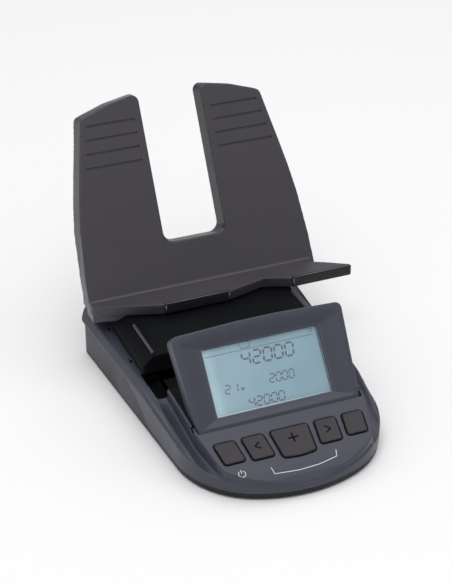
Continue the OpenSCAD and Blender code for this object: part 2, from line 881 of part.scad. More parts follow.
function back_outline(inset) = let (n = len(back_sides) - 1)
    rounded(mirrored(concat([for (i = [0:n - 1]) back_sides[i] - [inset, i == 0 ? -inset : 0]],
        [back_sides[n] - [inset, inset], [38, (wing_outer + wing_inner) / 2 - inset + 1],
        [wing_gap + inset, wing_inner - inset], [wing_gap + inset, wing_low - inset]])),
        [1, 0, 0, 0, 0, 0, 4, 0, 4, 6, 6, 4, 0, 4, 0, 0, 0, 0, 0, 1]);

module on_back() {
    translate([tray_x, back_y, ledge_z]) rotate([-tray_lean, 0, 0]) children();
}

groove_b = [97.8, 90, 82.1, 74.2];
groove_w = 1;
groove_d = 0.5;
groove_in = 23;

// Half the width of the back at a height along it.
function side_at(b) = lookup(b, [for (p = back_sides) [p.y, p.x]]);

// The ledge seen from above.
ledge_front = [[-67.5, -0.5], [-49.8, -6], [-29.3, -13.1], [11, -13.1], [34.3, -7], [49.8, -13.1],
    [88, -13.1], [88, -11], [75.5, -3.4], [68.5, 0]];
ledge_rear = 15.5;
ledge_outline = rounded(concat(ledge_front, [[72, ledge_rear], [-68, ledge_rear]]),
    [1.5, 0, 0, 0, 0, 0, 1.5, 1, 0, 0, 0, 0]);
ledge_inner = [[-64, 1.5], [-48.8, -3.2], [-28.6, -10.6], [10.4, -10.6], [34.3, -4.2], [50.4, -10.6],
    [82, -10.6], [74, -5.5], [66, -0.6], [69.5, ledge_rear - tray_t], [-65.5, ledge_rear - tray_t]];
ledge_low = ledge_z - ledge_skirt;
cheek_low = 32.6;
// The left end of the ledge's front wall reaches down beside the platform.
drop_plan = [[-67.5, -0.5], [-49.8, -6], [-29.3, -13.1], [-28.6, -10.6], [-48.8, -3.2], [-60, 0.5],
    [-67, 0.5]];
drop_front = [[-67.5, cheek_low], [-54.5, cheek_low + 0.9], [-51.5, 35], [-49.5, platform_z + 0.5],
    [-38, platform_z + 0.5], [-29.3, ledge_low], [-29.3, ledge_low + 1], [-67.5, ledge_low + 1]];

module tray() color([0.24, 0.23, 0.26]) home() {
    union() {
        difference() {
            translate([0, 0, ledge_low])
                linear_extrude(ledge_skirt)
                    polygon(ledge_outline);
            translate([0, 0, ledge_low - 1])
                linear_extrude(ledge_skirt + 1 - tray_t)
                    polygon(ledge_inner);
        }
        for (bar = [[-28.6, 11], [50.2, 88]])
            box([bar[0], -13.7, ledge_low + 0.2], [bar[1], -12.6, ledge_z + 0.5]);
        ledge_drop();
        for (side = [-1, 1])
            tray_cheek(side);
        for (side = [-1, 1])
            translate([side * peg_x, peg_y, platform_z + part_gap - peg_l + 1.5])
                cylinder(h = ledge_z - platform_z + peg_l - 3, r = peg_r);
        for (side = [-1, 1])
            translate([side * peg_x, peg_y, platform_z])
                cylinder(h = ledge_z - platform_z - 1, r = peg_r + 2.5);
        intersection() {
            on_back()
                difference() {
                    face_up(flange_d) polygon(back_outline(0));
                    translate([0, tray_t, 0])
                        face_up(flange_d)
                            polygon(back_outline(tray_t));
                    for (b = groove_b, side = [0, 1])
                        mirror([side, 0, 0])
                            box([groove_in, -1, b - groove_w / 2],
                                [side_at(b) - 3.6, groove_d, b + groove_w / 2]);
                }
            box([-far, -far, ledge_low], [far, far, far]);
        }
    }
}

// The lower front wall at the ledge's left end, with a slanted lower edge.
module ledge_drop() {
    intersection() {
        translate([0, 0, cheek_low - 1])
            linear_extrude(ledge_low - cheek_low + 1.5)
                polygon(drop_plan);
        rotate([90, 0, 0])
            translate([0, 0, -10])
                linear_extrude(40)
                    polygon(drop_front);
    }
}

// One side of the tray, which reaches down beside the platform.
module tray_cheek(side) {
    x = platform_w + platform_side + 1.8;
    low = side < 0 ? [-67, 0] : [x, 0];
    high = side < 0 ? [-x, 11] : [67, 11];
    translate([0, 0, cheek_low])
        linear_extrude(ledge_z - cheek_low - 1)
            polygon([low, [high.x, low.y], high, [low.x, high.y]]);
}

// ---- boards, power ----

board_z = 6.4;
board_low = [34, -52];
board_high = [57, -6];
board_posts = [[board_low.x + 4, board_low.y + 4], [board_high.x - 4, board_high.y - 4]];

module main_board() color("darkgreen") home() {
    difference() {
        box([board_low.x, board_low.y, board_z], [board_high.x, board_high.y, board_z + board_t]);
        for (p = board_posts)
            translate([p.x, p.y, 0])
                cylinder(h = 20, r = board_screw_r);
    }
}

module main_board_screws() color("silver") home() {
    for (p = board_posts)
        translate([p.x, p.y, board_z + board_t]) {
            cylinder(h = 1.2, r = 2.2);
            translate([0, 0, 1 - board_screw_l]) cylinder(h = board_screw_l - 1, r = board_screw_r);
        }
}

module processor() color([0.1, 0.1, 0.1]) home() {
    box([39, -36, board_z + board_t], [51, -24, board_z + board_t + 1.6]);
}

module buzzer() color("black") home() {
    translate([48, -16, board_z + board_t])
        difference() {
            cylinder(h = 6, r = 5);
            translate([0, 0, 4]) cylinder(h = 3, r = 1);
        }
}

inlet_z = 9;
inlet_size = [9, 13, 11];
inlet_x = cell_l / 2 + inlet_size.x / 2 + 1.5;

module power_inlet() color("black") home() {
    rear = rear_y - wall;
    difference() {
        box([inlet_x - inlet_size.x / 2, rear - inlet_size.y, floor_z],
            [inlet_x + inlet_size.x / 2, rear, floor_z + inlet_size.z]);
        translate([inlet_x, rear + 1, inlet_z])
            rotate([90, 0, 0])
                cylinder(h = 10, r = inlet_r);
    }
    translate([inlet_x, rear - 1, inlet_z])
        rotate([90, 0, 0])
            cylinder(h = 9, r = 1);
}

cell_pitch_x = 2 * battery_r + 0.4;
bay_w = 4 * cell_pitch_x;
contact_t = 0.5;
spring_l = 1.5;
bay_l = battery_l + 2 * contact_t + spring_l;
bay_top = floor_z + 2 * battery_r + 0.6;

module battery_box() {
    translate([0, 0, foot_h])
        linear_extrude(bay_top + box_wall - foot_h)
            polygon([[-bay_w / 2 - box_wall, box_rear + box_wall], [bay_w / 2 + box_wall, box_rear + box_wall],
                [bay_w / 2 + box_wall, box_rear - bay_l - box_wall],
                [-bay_w / 2 - box_wall, box_rear - bay_l - box_wall]]);
}

module battery_bays() {
    box([-bay_w / 2, box_rear - bay_l, floor_z - 1], [bay_w / 2, box_rear, bay_top]);
}

module door_opening() {
    box([-bay_w / 2 + 1, box_rear - bay_l + 1, 0], [bay_w / 2 - 1, box_rear - 1, floor_z + 0.1]);
}

// The door has a round rear edge, which it turns on.
door_r = (floor_t - 0.1) / 2;
module battery_door() color("dimgray") home() {
    y = box_rear - 1 - door_gap - door_r;
    w = bay_w / 2 - 1 - door_gap;
    box([-w, box_rear - bay_l + 1 + door_gap, foot_h], [w, y, foot_h + 2 * door_r]);
    translate([-w, y, foot_h + door_r])
        rotate([0, 90, 0])
            cylinder(h = 2 * w, r = door_r);
}

function battery_x(i) = -bay_w / 2 + cell_pitch_x * (i + 0.5);

module battery(i) color("orange") home() {
    flip = i % 2;
    middle = box_rear - bay_l / 2 + (flip == 0 ? spring_l / 2 : -spring_l / 2);
    translate([battery_x(i), middle, floor_z + battery_r + 0.2])
        rotate([flip == 0 ? -90 : 90, 0, 0]) {
            translate([0, 0, -battery_l / 2]) cylinder(h = battery_l - 1, r = battery_r);
            cylinder(h = battery_l / 2, r = 2.6);
        }
}

module battery_contacts() color("gold") home() {
    z = floor_z + battery_r + 0.2;
    for (i = [0:3], end = [0, 1]) {
        y = end == 0 ? box_rear - bay_l : box_rear - contact_t;
        spring = (i + end) % 2 == 0;
        translate([battery_x(i) - 4.5, y, z - 5])
            cube([9, contact_t, 10]);
        if (spring)
            translate([battery_x(i), end == 0 ? y + contact_t : y, z])
                rotate([end == 0 ? -90 : 90, 0, 0])
                    cylinder(h = spring_l, r = 3);
    }
}

lower_housing();
upper_housing();
well_liner();
key_power();
key_back();
key_plus();
key_next();
key_mode();
key_mat();
key_board();
key_board_screws();
display_frame();
display_window();
display_panel();
display_board();
display_cover();
display_screws();
hinge_pin(-1);  // hinge_pin_left
hinge_pin(1);  // hinge_pin_right
platform();
weighing_cell();
cell_base_plate();
cell_top_plate();
cell_base_screws();
cell_top_screws();
tray();
main_board();
main_board_screws();
processor();
buzzer();
power_inlet();
battery(0);  // battery_1
battery(1);  // battery_2
battery(2);  // battery_3
battery(3);  // battery_4
battery_contacts();
battery_door();
housing_screws();
foot(0);  // foot_1
foot(1);  // foot_2
foot(2);  // foot_3
foot(3);  // foot_4
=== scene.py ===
"""Looks of the money scale: materials, detailed pieces, floor, light and camera."""

import json
import math

import bmesh
import bpy
from mathutils import Matrix, Vector


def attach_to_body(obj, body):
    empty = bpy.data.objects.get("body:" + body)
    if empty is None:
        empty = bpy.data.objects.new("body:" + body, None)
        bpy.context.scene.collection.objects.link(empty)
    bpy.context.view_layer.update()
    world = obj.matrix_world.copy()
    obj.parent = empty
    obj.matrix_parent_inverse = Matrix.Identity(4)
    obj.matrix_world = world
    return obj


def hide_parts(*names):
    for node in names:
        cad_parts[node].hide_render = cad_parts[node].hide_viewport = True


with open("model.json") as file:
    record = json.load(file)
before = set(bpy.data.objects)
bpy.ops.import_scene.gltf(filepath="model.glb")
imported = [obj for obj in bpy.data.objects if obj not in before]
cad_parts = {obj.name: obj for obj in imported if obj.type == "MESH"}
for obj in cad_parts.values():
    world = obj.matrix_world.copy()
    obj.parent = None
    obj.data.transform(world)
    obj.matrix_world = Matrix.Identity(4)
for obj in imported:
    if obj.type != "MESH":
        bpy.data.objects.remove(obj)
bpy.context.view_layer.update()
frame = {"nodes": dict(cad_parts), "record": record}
MM = 0.001
LINE = 62.5  # the banknote line lies this far behind the origin, in millimetres


# ---- materials ----

def new_material(name):
    """A node material with its Principled shader and a helper that adds nodes."""
    material = bpy.data.materials.new(name)
    material.use_nodes = True
    tree = material.node_tree
    return material, tree, tree.nodes["Principled BSDF"]


def add(tree, kind, inputs=(), **settings):
    """Adds a node with its settings and input values."""
    node = tree.nodes.new(kind)
    for key, value in settings.items():
        setattr(node, key, value)
    for key, value in inputs:
        node.inputs[key].default_value = value
    return node


ZONE_EDGE = 0.0002  # half the width over which a zone's edge fades, in metres


def within(tree, value, low, high):
    """1 where a value lies between two limits, with edges 0.4 mm soft."""
    rise = add(tree, "ShaderNodeMapRange", [("From Min", low - ZONE_EDGE),
                                            ("From Max", low + ZONE_EDGE)])
    fall = add(tree, "ShaderNodeMapRange", [("From Min", high + ZONE_EDGE),
                                            ("From Max", high - ZONE_EDGE)])
    both = add(tree, "ShaderNodeMath", operation="MULTIPLY")
    for i, step in enumerate((rise, fall)):
        tree.links.new(value, step.inputs["Value"])
        tree.links.new(step.outputs["Result"], both.inputs[i])
    return both.outputs["Value"]


def dimmed(tree, colour, zones, keep):
    """Paints shade: multiplies a colour by keep inside each zone, given by limits of X and Z in
    metres.
    """
    coords = add(tree, "ShaderNodeTexCoord")
    split = add(tree, "ShaderNodeSeparateXYZ")
    tree.links.new(coords.outputs["Object"], split.inputs["Vector"])
    for (x0, x1), (z0, z1) in zones:
        zone = add(tree, "ShaderNodeMath", operation="MULTIPLY")
        tree.links.new(within(tree, split.outputs["X"], x0, x1), zone.inputs[0])
        tree.links.new(within(tree, split.outputs["Z"], z0, z1), zone.inputs[1])
        mix = add(tree, "ShaderNodeMix", data_type="RGBA", blend_type="MULTIPLY")
        mix.inputs["B"].default_value = (keep, keep, keep, 1)
        tree.links.new(zone.outputs["Value"], mix.inputs["Factor"])
        tree.links.new(colour, mix.inputs["A"])
        colour = mix.outputs["Result"]
    return colour


def moulded(name, colour, rough, gloss=0.5, grain=2600.0, bump=0.05, mottle=0.06, highlight=0.0,
            zones=(), keep=0.4):
    """Moulded plastic: fine spark-eroded grain, slight mottling, paler convex edges (partly wear,
    partly a painted highlight) and zones of painted shade.
    """
    material, tree, shader = new_material(name)
    link = tree.links.new
    coords = add(tree, "ShaderNodeTexCoord")
    fine = add(tree, "ShaderNodeTexNoise", [("Scale", grain), ("Detail", 3.0), ("Roughness", 0.6)])
    broad = add(tree, "ShaderNodeTexNoise", [("Scale", 38.0), ("Detail", 4.0), ("Roughness", 0.55)])
    link(coords.outputs["Object"], fine.inputs["Vector"])
    link(coords.outputs["Object"], broad.inputs["Vector"])
    tone = add(tree, "ShaderNodeMapRange", [("From Min", 0.3), ("From Max", 0.7),
                                            ("To Min", 1 - mottle), ("To Max", 1 + mottle)])
    link(broad.outputs["Fac"], tone.inputs["Value"])
    tinted = add(tree, "ShaderNodeMix", [("Factor", 1.0)], data_type="RGBA", blend_type="MULTIPLY")
    tinted.inputs["A"].default_value = (*colour, 1)
    link(tone.outputs["Result"], tinted.inputs["B"])
    result = tinted.outputs["Result"]
    # Paler on convex edges: partly wear, partly a painted highlight.
    if highlight:
        geometry = add(tree, "ShaderNodeNewGeometry")
        wear_and_sheen = add(tree, "ShaderNodeMapRange", [("From Min", 0.52), ("From Max", 0.62),
                                                ("To Min", 0.0), ("To Max", highlight)])
        link(geometry.outputs["Pointiness"], wear_and_sheen.inputs["Value"])
        paler = add(tree, "ShaderNodeMix", data_type="RGBA")
        paler.inputs["B"].default_value = (*[min(1, c * 2.2 + 0.03) for c in colour], 1)
        link(wear_and_sheen.outputs["Result"], paler.inputs["Factor"])
        link(result, paler.inputs["A"])
        result = paler.outputs["Result"]
    # Painted shade inside the zones.
    result = dimmed(tree, result, zones, keep)
    link(result, shader.inputs["Base Color"])
    shader.inputs["Specular IOR Level"].default_value = gloss
    uneven = add(tree, "ShaderNodeMapRange", [("From Min", 0.35), ("From Max", 0.65),
                                              ("To Min", rough - 0.05), ("To Max", rough + 0.05)])
    link(broad.outputs["Fac"], uneven.inputs["Value"])
    link(uneven.outputs["Result"], shader.inputs["Roughness"])
    relief = add(tree, "ShaderNodeBump", [("Strength", bump), ("Distance", 0.0002)])
    link(fine.outputs["Fac"], relief.inputs["Height"])
    link(relief.outputs["Normal"], shader.inputs["Normal"])
    return material


def metal(name, colour, rough, scale=(4000.0, 60.0, 60.0)):
    """Machined or drawn metal with fine lines along one axis."""
    material, tree, shader = new_material(name)
    link = tree.links.new
    coords = add(tree, "ShaderNodeTexCoord")
    stretch = add(tree, "ShaderNodeMapping")
    stretch.inputs["Scale"].default_value = scale
    lines = add(tree, "ShaderNodeTexNoise", [("Scale", 1.0), ("Detail", 4.0)])
    link(coords.outputs["Object"], stretch.inputs["Vector"])
    link(stretch.outputs["Vector"], lines.inputs["Vector"])
    gloss = add(tree, "ShaderNodeMapRange", [("To Min", rough - 0.08), ("To Max", rough + 0.12)])
    link(lines.outputs["Fac"], gloss.inputs["Value"])
    link(gloss.outputs["Result"], shader.inputs["Roughness"])
    relief = add(tree, "ShaderNodeBump", [("Strength", 0.08), ("Distance", 0.0001)])
    link(lines.outputs["Fac"], relief.inputs["Height"])
    link(relief.outputs["Normal"], shader.inputs["Normal"])
    shader.inputs["Base Color"].default_value = (*colour, 1)
    shader.inputs["Metallic"].default_value = 1.0
    return material


def lacquered_board(name):
    """Green solder mask over tracks, with small bare pads."""
    material, tree, shader = new_material(name)
    link = tree.links.new
    coords = add(tree, "ShaderNodeTexCoord")
    tracks = add(tree, "ShaderNodeTexBrick", [("Scale", 240.0), ("Mortar Size", 0.03),
                                              ("Color1", (0.012, 0.10, 0.04, 1)),
                                              ("Color2", (0.014, 0.12, 0.05, 1)),
                                              ("Mortar", (0.02, 0.2, 0.09, 1))])
    link(coords.outputs["Object"], tracks.inputs["Vector"])
    link(tracks.outputs["Color"], shader.inputs["Base Color"])
    shader.inputs["Roughness"].default_value = 0.3
    return material


def clear_window(name):
    """Clear cover over the display, with a faint haze."""
    material, tree, shader = new_material(name)
    link = tree.links.new
    coords = add(tree, "ShaderNodeTexCoord")
    haze = add(tree, "ShaderNodeTexNoise", [("Scale", 60.0), ("Detail", 2.0)])
    link(coords.outputs["Object"], haze.inputs["Vector"])
    gloss = add(tree, "ShaderNodeMapRange", [("To Min", 0.03), ("To Max", 0.12)])
    link(haze.outputs["Fac"], gloss.inputs["Value"])
    link(gloss.outputs["Result"], shader.inputs["Roughness"])
    shader.inputs["Base Color"].default_value = (0.9, 0.95, 0.97, 1)
    shader.inputs["Alpha"].default_value = 0.12
    return material


def lit_panel(name):
    """Blue-grey liquid crystal with a painted glow, paler where its lamp sits at the left, with a
    fine pixel grain.
    """
    material, tree, shader = new_material(name)
    link = tree.links.new
    coords = add(tree, "ShaderNodeTexCoord")
    split = add(tree, "ShaderNodeSeparateXYZ")
    link(coords.outputs["Object"], split.inputs["Vector"])
    # Painted glow: the colour is paler towards the left.
    fade = add(tree, "ShaderNodeMapRange", [("From Min", -LCD_W * MM), ("From Max", 0.0),
                                            ("To Min", 0.0), ("To Max", 1.0)])
    link(split.outputs["X"], fade.inputs["Value"])
    ramp = add(tree, "ShaderNodeValToRGB")
    ramp.color_ramp.elements[0].color = (0.50, 0.70, 0.78, 1)
    ramp.color_ramp.elements[1].color = (0.235, 0.405, 0.50, 1)
    middle = ramp.color_ramp.elements.new(0.22)
    middle.color = (0.30, 0.47, 0.56, 1)
    link(fade.outputs["Result"], ramp.inputs["Fac"])
    cloud = add(tree, "ShaderNodeTexNoise", [("Scale", 45.0), ("Detail", 2.0)])
    link(coords.outputs["Object"], cloud.inputs["Vector"])
    tone = add(tree, "ShaderNodeMapRange", [("From Min", 0.3), ("From Max", 0.7),
                                            ("To Min", 0.93), ("To Max", 1.05)])
    link(cloud.outputs["Fac"], tone.inputs["Value"])
    tinted = add(tree, "ShaderNodeMix", [("Factor", 1.0)], data_type="RGBA", blend_type="MULTIPLY")
    link(ramp.outputs["Color"], tinted.inputs["A"])
    link(tone.outputs["Result"], tinted.inputs["B"])
    link(tinted.outputs["Result"], shader.inputs["Base Color"])
    shader.inputs["Roughness"].default_value = 0.4
    shader.inputs["Specular IOR Level"].default_value = 0.2
    return material


LCD_W = 33.7  # half the width of the display panel, in millimetres
BODY = (0.046, 0.049, 0.070)
BAND_SHADE_TOP = 0.0033  # painted shade darkens the lower housing below this height, in metres
WING_GAP_SHADE_X = (-0.0170, 0.0210)  # between these lies the gap of the wings; painted shade darkens its inner flanges
MATERIALS = {
    "housing": moulded("housing_plastic", BODY, 0.36, gloss=0.38, highlight=0.3),
    # Darker copy of the housing plastic for the lower housing: painted shade, darkest near the
    # floor.
    "lower_band": moulded("lower_band_shaded_plastic", (0.030, 0.031, 0.042), 0.4, gloss=0.3,
                          zones=[((-1, 1), (-1, BAND_SHADE_TOP))], keep=0.25),
    "black_plastic": moulded("black_plastic", (0.004, 0.0045, 0.0055), 0.45, gloss=0.06, highlight=0.2),
    # Paler copy of the black platform plastic for the ribs: a painted highlight.
    "rib": moulded("rib_painted_highlight", (0.045, 0.046, 0.05), 0.35),
    "key": moulded("key_plastic", (0.034, 0.029, 0.036), 0.4, gloss=0.3, bump=0.03, highlight=0.3),
    # Painted shade on the wings' inner flanges, where the two wings face each other.
    "tray": moulded("tray_plastic", (0.045, 0.041, 0.051), 0.34, highlight=0.3,
                    zones=[(WING_GAP_SHADE_X, (0.067, 1))], keep=0.2),
    # Darker copy of the tray plastic for the ledge bars: painted shade.
    "tray_bar": moulded("tray_bar_shaded_plastic", (0.014, 0.013, 0.016), 0.4, gloss=0.3),
    # Pale plastic for strips on the bars' edges: a painted highlight.
    "bar_edge": moulded("bar_edge_painted_highlight", (0.15, 0.15, 0.165), 0.35),
    "mat": moulded("silicone_mat", (0.05, 0.05, 0.055), 0.7),
    "circuit_board": lacquered_board("circuit_board"),
    "screw": metal("screw_steel", (0.6, 0.6, 0.62), 0.3),
    "pin": metal("pin_steel", (0.05, 0.05, 0.055), 0.35, (60.0, 4000.0, 4000.0)),
    "window": clear_window("clear_window"),
    "liquid_crystal": lit_panel("liquid_crystal"),
    "cell_metal": metal("milled_aluminium", (0.72, 0.72, 0.74), 0.32),
    "steel_plate": metal("steel_plate", (0.45, 0.45, 0.47), 0.4),
    "component_black": moulded("component_black", (0.02, 0.02, 0.02), 0.5),
    "battery_sleeve": moulded("battery_sleeve", (0.45, 0.22, 0.05), 0.3),
    "contact": metal("contact_brass", (0.8, 0.65, 0.3), 0.3),
    "lcd_ink": moulded("lcd_ink", (0.055, 0.085, 0.12), 0.5),
    "lcd_edge": moulded("lcd_edge", (0.62, 0.76, 0.80), 0.5),
    "lcd_shade": moulded("lcd_shade", (0.035, 0.065, 0.11), 0.5),
    "print_white": moulded("print_white", (0.62, 0.62, 0.66), 0.5),
    "print_black": moulded("print_black", (0.003, 0.003, 0.004), 0.6, gloss=0.1),
    "foot_rubber": moulded("foot_rubber", (0.02, 0.02, 0.02), 0.8, grain=900.0, bump=0.15),
}


def dress_nodes():
    """Gives every CAD node the material of its slot; the lower housing gets a darker one with
    painted shade.
    """
    for part in frame["record"]["subparts"]:
        node = frame["nodes"][part["node"]]
        node.data.materials.clear()
        slot = "lower_band" if part["node"] == "lower_housing" else part["material_slot"]
        node.data.materials.append(MATERIALS[slot])


# ---- shapes, in millimetres, with Y measured from the banknote line ----

def mirrored(points):
    """An outline given by its right half, closed over the centre plane."""
    return list(points) + [(-x, y) for x, y in reversed(points) if abs(x) > 0.001]


def arc(centre, radius, start, end, steps):
    """Points along an arc, from one angle in degrees to another."""
    angles = [math.radians(start + (end - start) * i / steps) for i in range(steps + 1)]
    return [(centre[0] + radius * math.cos(a), centre[1] + radius * math.sin(a)) for a in angles]


def corner(before, at, after, radius, steps=6):
    """One rounded corner of an outline."""
    before, at, after = Vector(before), Vector(at), Vector(after)
    back, on = (before - at).normalized(), (after - at).normalized()
    half = back.angle(on) / 2
    centre = at + (back + on).normalized() * radius / math.sin(half)
    first = at + back * radius / math.tan(half) - centre
    last = at + on * radius / math.tan(half) - centre
    return [tuple(centre + first.lerp(last, i / steps).normalized() * radius)
            for i in range(steps + 1)]


def rounded(points, radii, steps=6):
    """An outline whose corners are rounded, each with its own radius; 0 keeps a corner."""
    outline = []
    for i, (at, radius) in enumerate(zip(points, radii)):
        after = points[(i + 1) % len(points)]
        outline += corner(points[i - 1], at, after, radius, steps) if radius else [at]
    return outline


def curve_through(points, steps=6):
    """A smooth curve through points of two or three coordinates."""
    points = [Vector(p) for p in points]
    ends = [2 * points[0] - points[1]] + points + [2 * points[-1] - points[-2]]
    curve = []
    for a, b, c, d in zip(ends, ends[1:], ends[2:], ends[3:]):
        for i in range(steps):
            t = i / steps
            curve.append(0.5 * (2 * b + (c - a) * t + (2 * a - 5 * b + 4 * c - d) * t ** 2
                                + (3 * b - a - 3 * c + d) * t ** 3))
    return [tuple(p) for p in curve + [points[-1]]]


def loft(rings, closed=False):
    """A closed mesh through rings of equally many points."""
    mesh = bpy.data.meshes.new("loft")
    bm = bmesh.new()
    loops = [[bm.verts.new(p) for p in ring] for ring in rings]
    pairs = list(zip(loops, loops[1:])) + ([(loops[-1], loops[0])] if closed else [])
    for low, high in pairs:
        for i in range(len(low)):
            j = (i + 1) % len(low)
            bm.faces.new((low[i], low[j], high[j], high[i]))
    if not closed:
        bm.faces.new(list(reversed(loops[0])))
        bm.faces.new(loops[-1])
    bmesh.ops.recalc_face_normals(bm, faces=bm.faces)
    bm.to_mesh(mesh)
    bm.free()
    return mesh


def solid(mesh, place=Matrix()):
    """A working object, in millimetres."""
    mesh.transform(place)
    piece = bpy.data.objects.new("working", mesh)
    bpy.context.scene.collection.objects.link(piece)
    return piece


def prism(outline, low, high, place=Matrix()):
    """An outline seen from above, from one height to another."""
    return solid(loft([[(x, y, z) for x, y in outline] for z in (low, high)]), place)


def across(profile, half=100.0):
    """A side view (y, z), extruded across the width."""
    return solid(loft([[(x, y, z) for y, z in profile] for x in (-half, half)]))


def block(low, high):
    """A box between two corners."""
    (x0, y0, z0), (x1, y1, z1) = low, high
    return prism([(x0, y0), (x1, y0), (x1, y1), (x0, y1)], z0, z1)


def rod(radius, length, place, steps=32):
    """A cylinder along Z from the origin, put in its place."""
    return prism(arc((0, 0), radius, 0, 360, steps)[:-1], 0, length, place)


def at(x, y, z):
    """A matrix that shifts by x, y and z."""
    return Matrix.Translation((x, y, z))


def turned(degrees, axis):
    """A matrix that turns about an axis through the origin."""
    return Matrix.Rotation(math.radians(degrees), 4, axis)


def bake(piece):
    """Turns a piece's modifiers into its mesh."""
    bpy.context.view_layer.update()
    graph = bpy.context.evaluated_depsgraph_get()
    mesh = bpy.data.meshes.new_from_object(piece.evaluated_get(graph))
    piece.modifiers.clear()
    piece.data = mesh


def combine(piece, other, operation):
    """Adds another shape to a piece, cuts it away or keeps what both share."""
    step = piece.modifiers.new("step", "BOOLEAN")
    step.operation = operation
    step.solver = "EXACT"
    step.object = other
    bake(piece)
    bpy.data.objects.remove(other)


def attach(piece, other):
    """Adds another closed body to a piece and leaves both surfaces as they are."""
    bm = bmesh.new()
    bm.from_mesh(piece.data)
    bm.from_mesh(other.data)
    bm.to_mesh(piece.data)
    bm.free()
    bpy.data.objects.remove(other)


def soften(piece, cell, passes):
    """Rounds every edge of a moulding by about one and a half cells."""
    grid = piece.modifiers.new("grid", "REMESH")
    grid.mode = "VOXEL"
    grid.voxel_size = cell
    ease = piece.modifiers.new("ease", "SMOOTH")
    ease.factor = 0.5
    ease.iterations = passes
    bake(piece)


def finished(piece, name, body, slot, nodes=(), crease=None):
    """Names a piece, takes it to metres and the model's place, and ties it to its body."""
    piece.name = name
    mesh = piece.data
    mesh.name = name
    mesh.transform(Matrix.Scale(MM, 4) @ at(0, LINE, 0))
    mesh.shade_smooth()
    if crease:
        mesh.set_sharp_from_angle(angle=math.radians(crease))
    mesh.materials.clear()
    mesh.materials.append(MATERIALS[slot])
    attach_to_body(piece, body)
    if nodes:
        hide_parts(*nodes)
    return piece


# ---- upper housing ----

WALL = 2.0
TAPER = 0.068
TAPER_ANGLE = math.degrees(math.atan(TAPER))
FRONT_R, FRONT_Y = 75.0, 151.0
CORNER_R, CORNER_START = 46.0, 23.6
FRONT_C = Vector((0, FRONT_R - FRONT_Y))
CORNER_C = FRONT_C + (FRONT_R - CORNER_R) * Vector((math.sin(math.radians(CORNER_START)),
                                                    -math.cos(math.radians(CORNER_START))))
SIDE_START = CORNER_C + CORNER_R * Vector((math.cos(math.radians(TAPER_ANGLE)),
                                           -math.sin(math.radians(TAPER_ANGLE))))
HUMP_Y, HUMP_Z, HUMP_FRONT = 29.5, 36.0, 13.5
SHELF_Z, SEAM_REAR, SEAM_FRONT = 24.5, 19.5, 3.6
PANEL_Y, PANEL_Z, PANEL_TILT = -112.0, 24.3, 20.0
RIDGE_T, RIDGE_TILT, RIDGE_REAR = 1.5, 8.7, -74.0
SLOT_X, SLOT_PLACES = 56.3, (4.5, -32)  # the small slots in the shelf
SOFT_CELL, SOFT_PASSES = 0.5, 6  # how every moulding's edges are rounded
FRAME_LOW_W, FRAME_TOP_W, FRAME_H, WELL_GAP = 46.6, 49.5, 55.0, 0.6
PANEL = at(0, PANEL_Y, PANEL_Z) @ turned(PANEL_TILT, "X")


def side_w(y, inset):
    """Half the width of the housing at a place along its tapered side."""
    return SIDE_START.x + TAPER * (y - SIDE_START.y) - inset / math.cos(math.radians(TAPER_ANGLE))


def housing_plan(inset, rear):
    """The housing seen from above, less an inset."""
    points = arc(FRONT_C, FRONT_R - inset, -90, CORNER_START - 90, 16)
    points += arc(CORNER_C, CORNER_R - inset, CORNER_START - 90, -TAPER_ANGLE, 32)[1:]
    points += corner((side_w(0, inset), 0), (side_w(rear - inset, inset), rear - inset),
                     (0, rear - inset), max(5 - inset, 1))
    return mirrored(points)


def upper_side(inset):
    """The side view of the upper housing, with the rim as a smooth curve."""
    rear = HUMP_Y - inset
    rim = curve_through([(-44, SHELF_Z), (-54, 22.6), (-66, 20.6), (-82, 18.7), (-100, 17.2),
                         (-116, 15.3), (-130, 12.8), (-142, 10), (-148, 8.3), (-FRONT_Y, 6.5)])
    return [(-FRONT_Y, -1), (HUMP_Y - 1.2 - inset, -1), (HUMP_Y - 1.2 - inset, SEAM_REAR),
            (rear, 23), (rear - 0.8, 28), (rear - 3, 33), (rear - 7, HUMP_Z - inset),
            (HUMP_FRONT + inset, HUMP_Z - inset), (HUMP_FRONT + inset, SHELF_Z - inset),
            *[(y, z - inset) for y, z in rim]]


def bank_side(inset):
    """The bank between the rim and the console, from the side."""
    top = curve_through([(-60, 25.0), (-73, 25.3), (-80, 24.2), (-100, 19.6), (-114, 16),
                         (-132, 11.5)])
    return [(-44, 8), (-44, SHELF_Z - inset), *[(y, z - inset) for y, z in top], (-132, 4)]


def well_w(y):
    """Half the width of the display well."""
    return FRAME_LOW_W + WELL_GAP + (FRAME_TOP_W - FRAME_LOW_W) * (y - PANEL_Y) / (
        FRAME_H * math.cos(math.radians(RIDGE_TILT)))


def console_plan(inset):
    """The console with the keys and the ridges of the well, from above."""
    i = 0.6 * inset
    return mirrored([(35 - i, -150), (38.5 - i, -145), (44.4 - i, -130),
                     (well_w(PANEL_Y) + RIDGE_T - i, PANEL_Y),
                     (well_w(RIDGE_REAR) + RIDGE_T - i, RIDGE_REAR)])


def console_side(inset):
    """The console from the side: ridges, key panel and its rounded front."""
    ridge_z = PANEL_Z + (RIDGE_REAR - PANEL_Y) * math.tan(math.radians(RIDGE_TILT))
    low_z = PANEL_Z - (141 + PANEL_Y) * math.tan(math.radians(PANEL_TILT))
    return [(RIDGE_REAR, 4), (RIDGE_REAR, ridge_z - inset), (PANEL_Y, PANEL_Z - inset),
            (-141, low_z - inset), (-146.5, 11 - inset), (-149.6, 8.2 - inset), (-149.6, 4)]


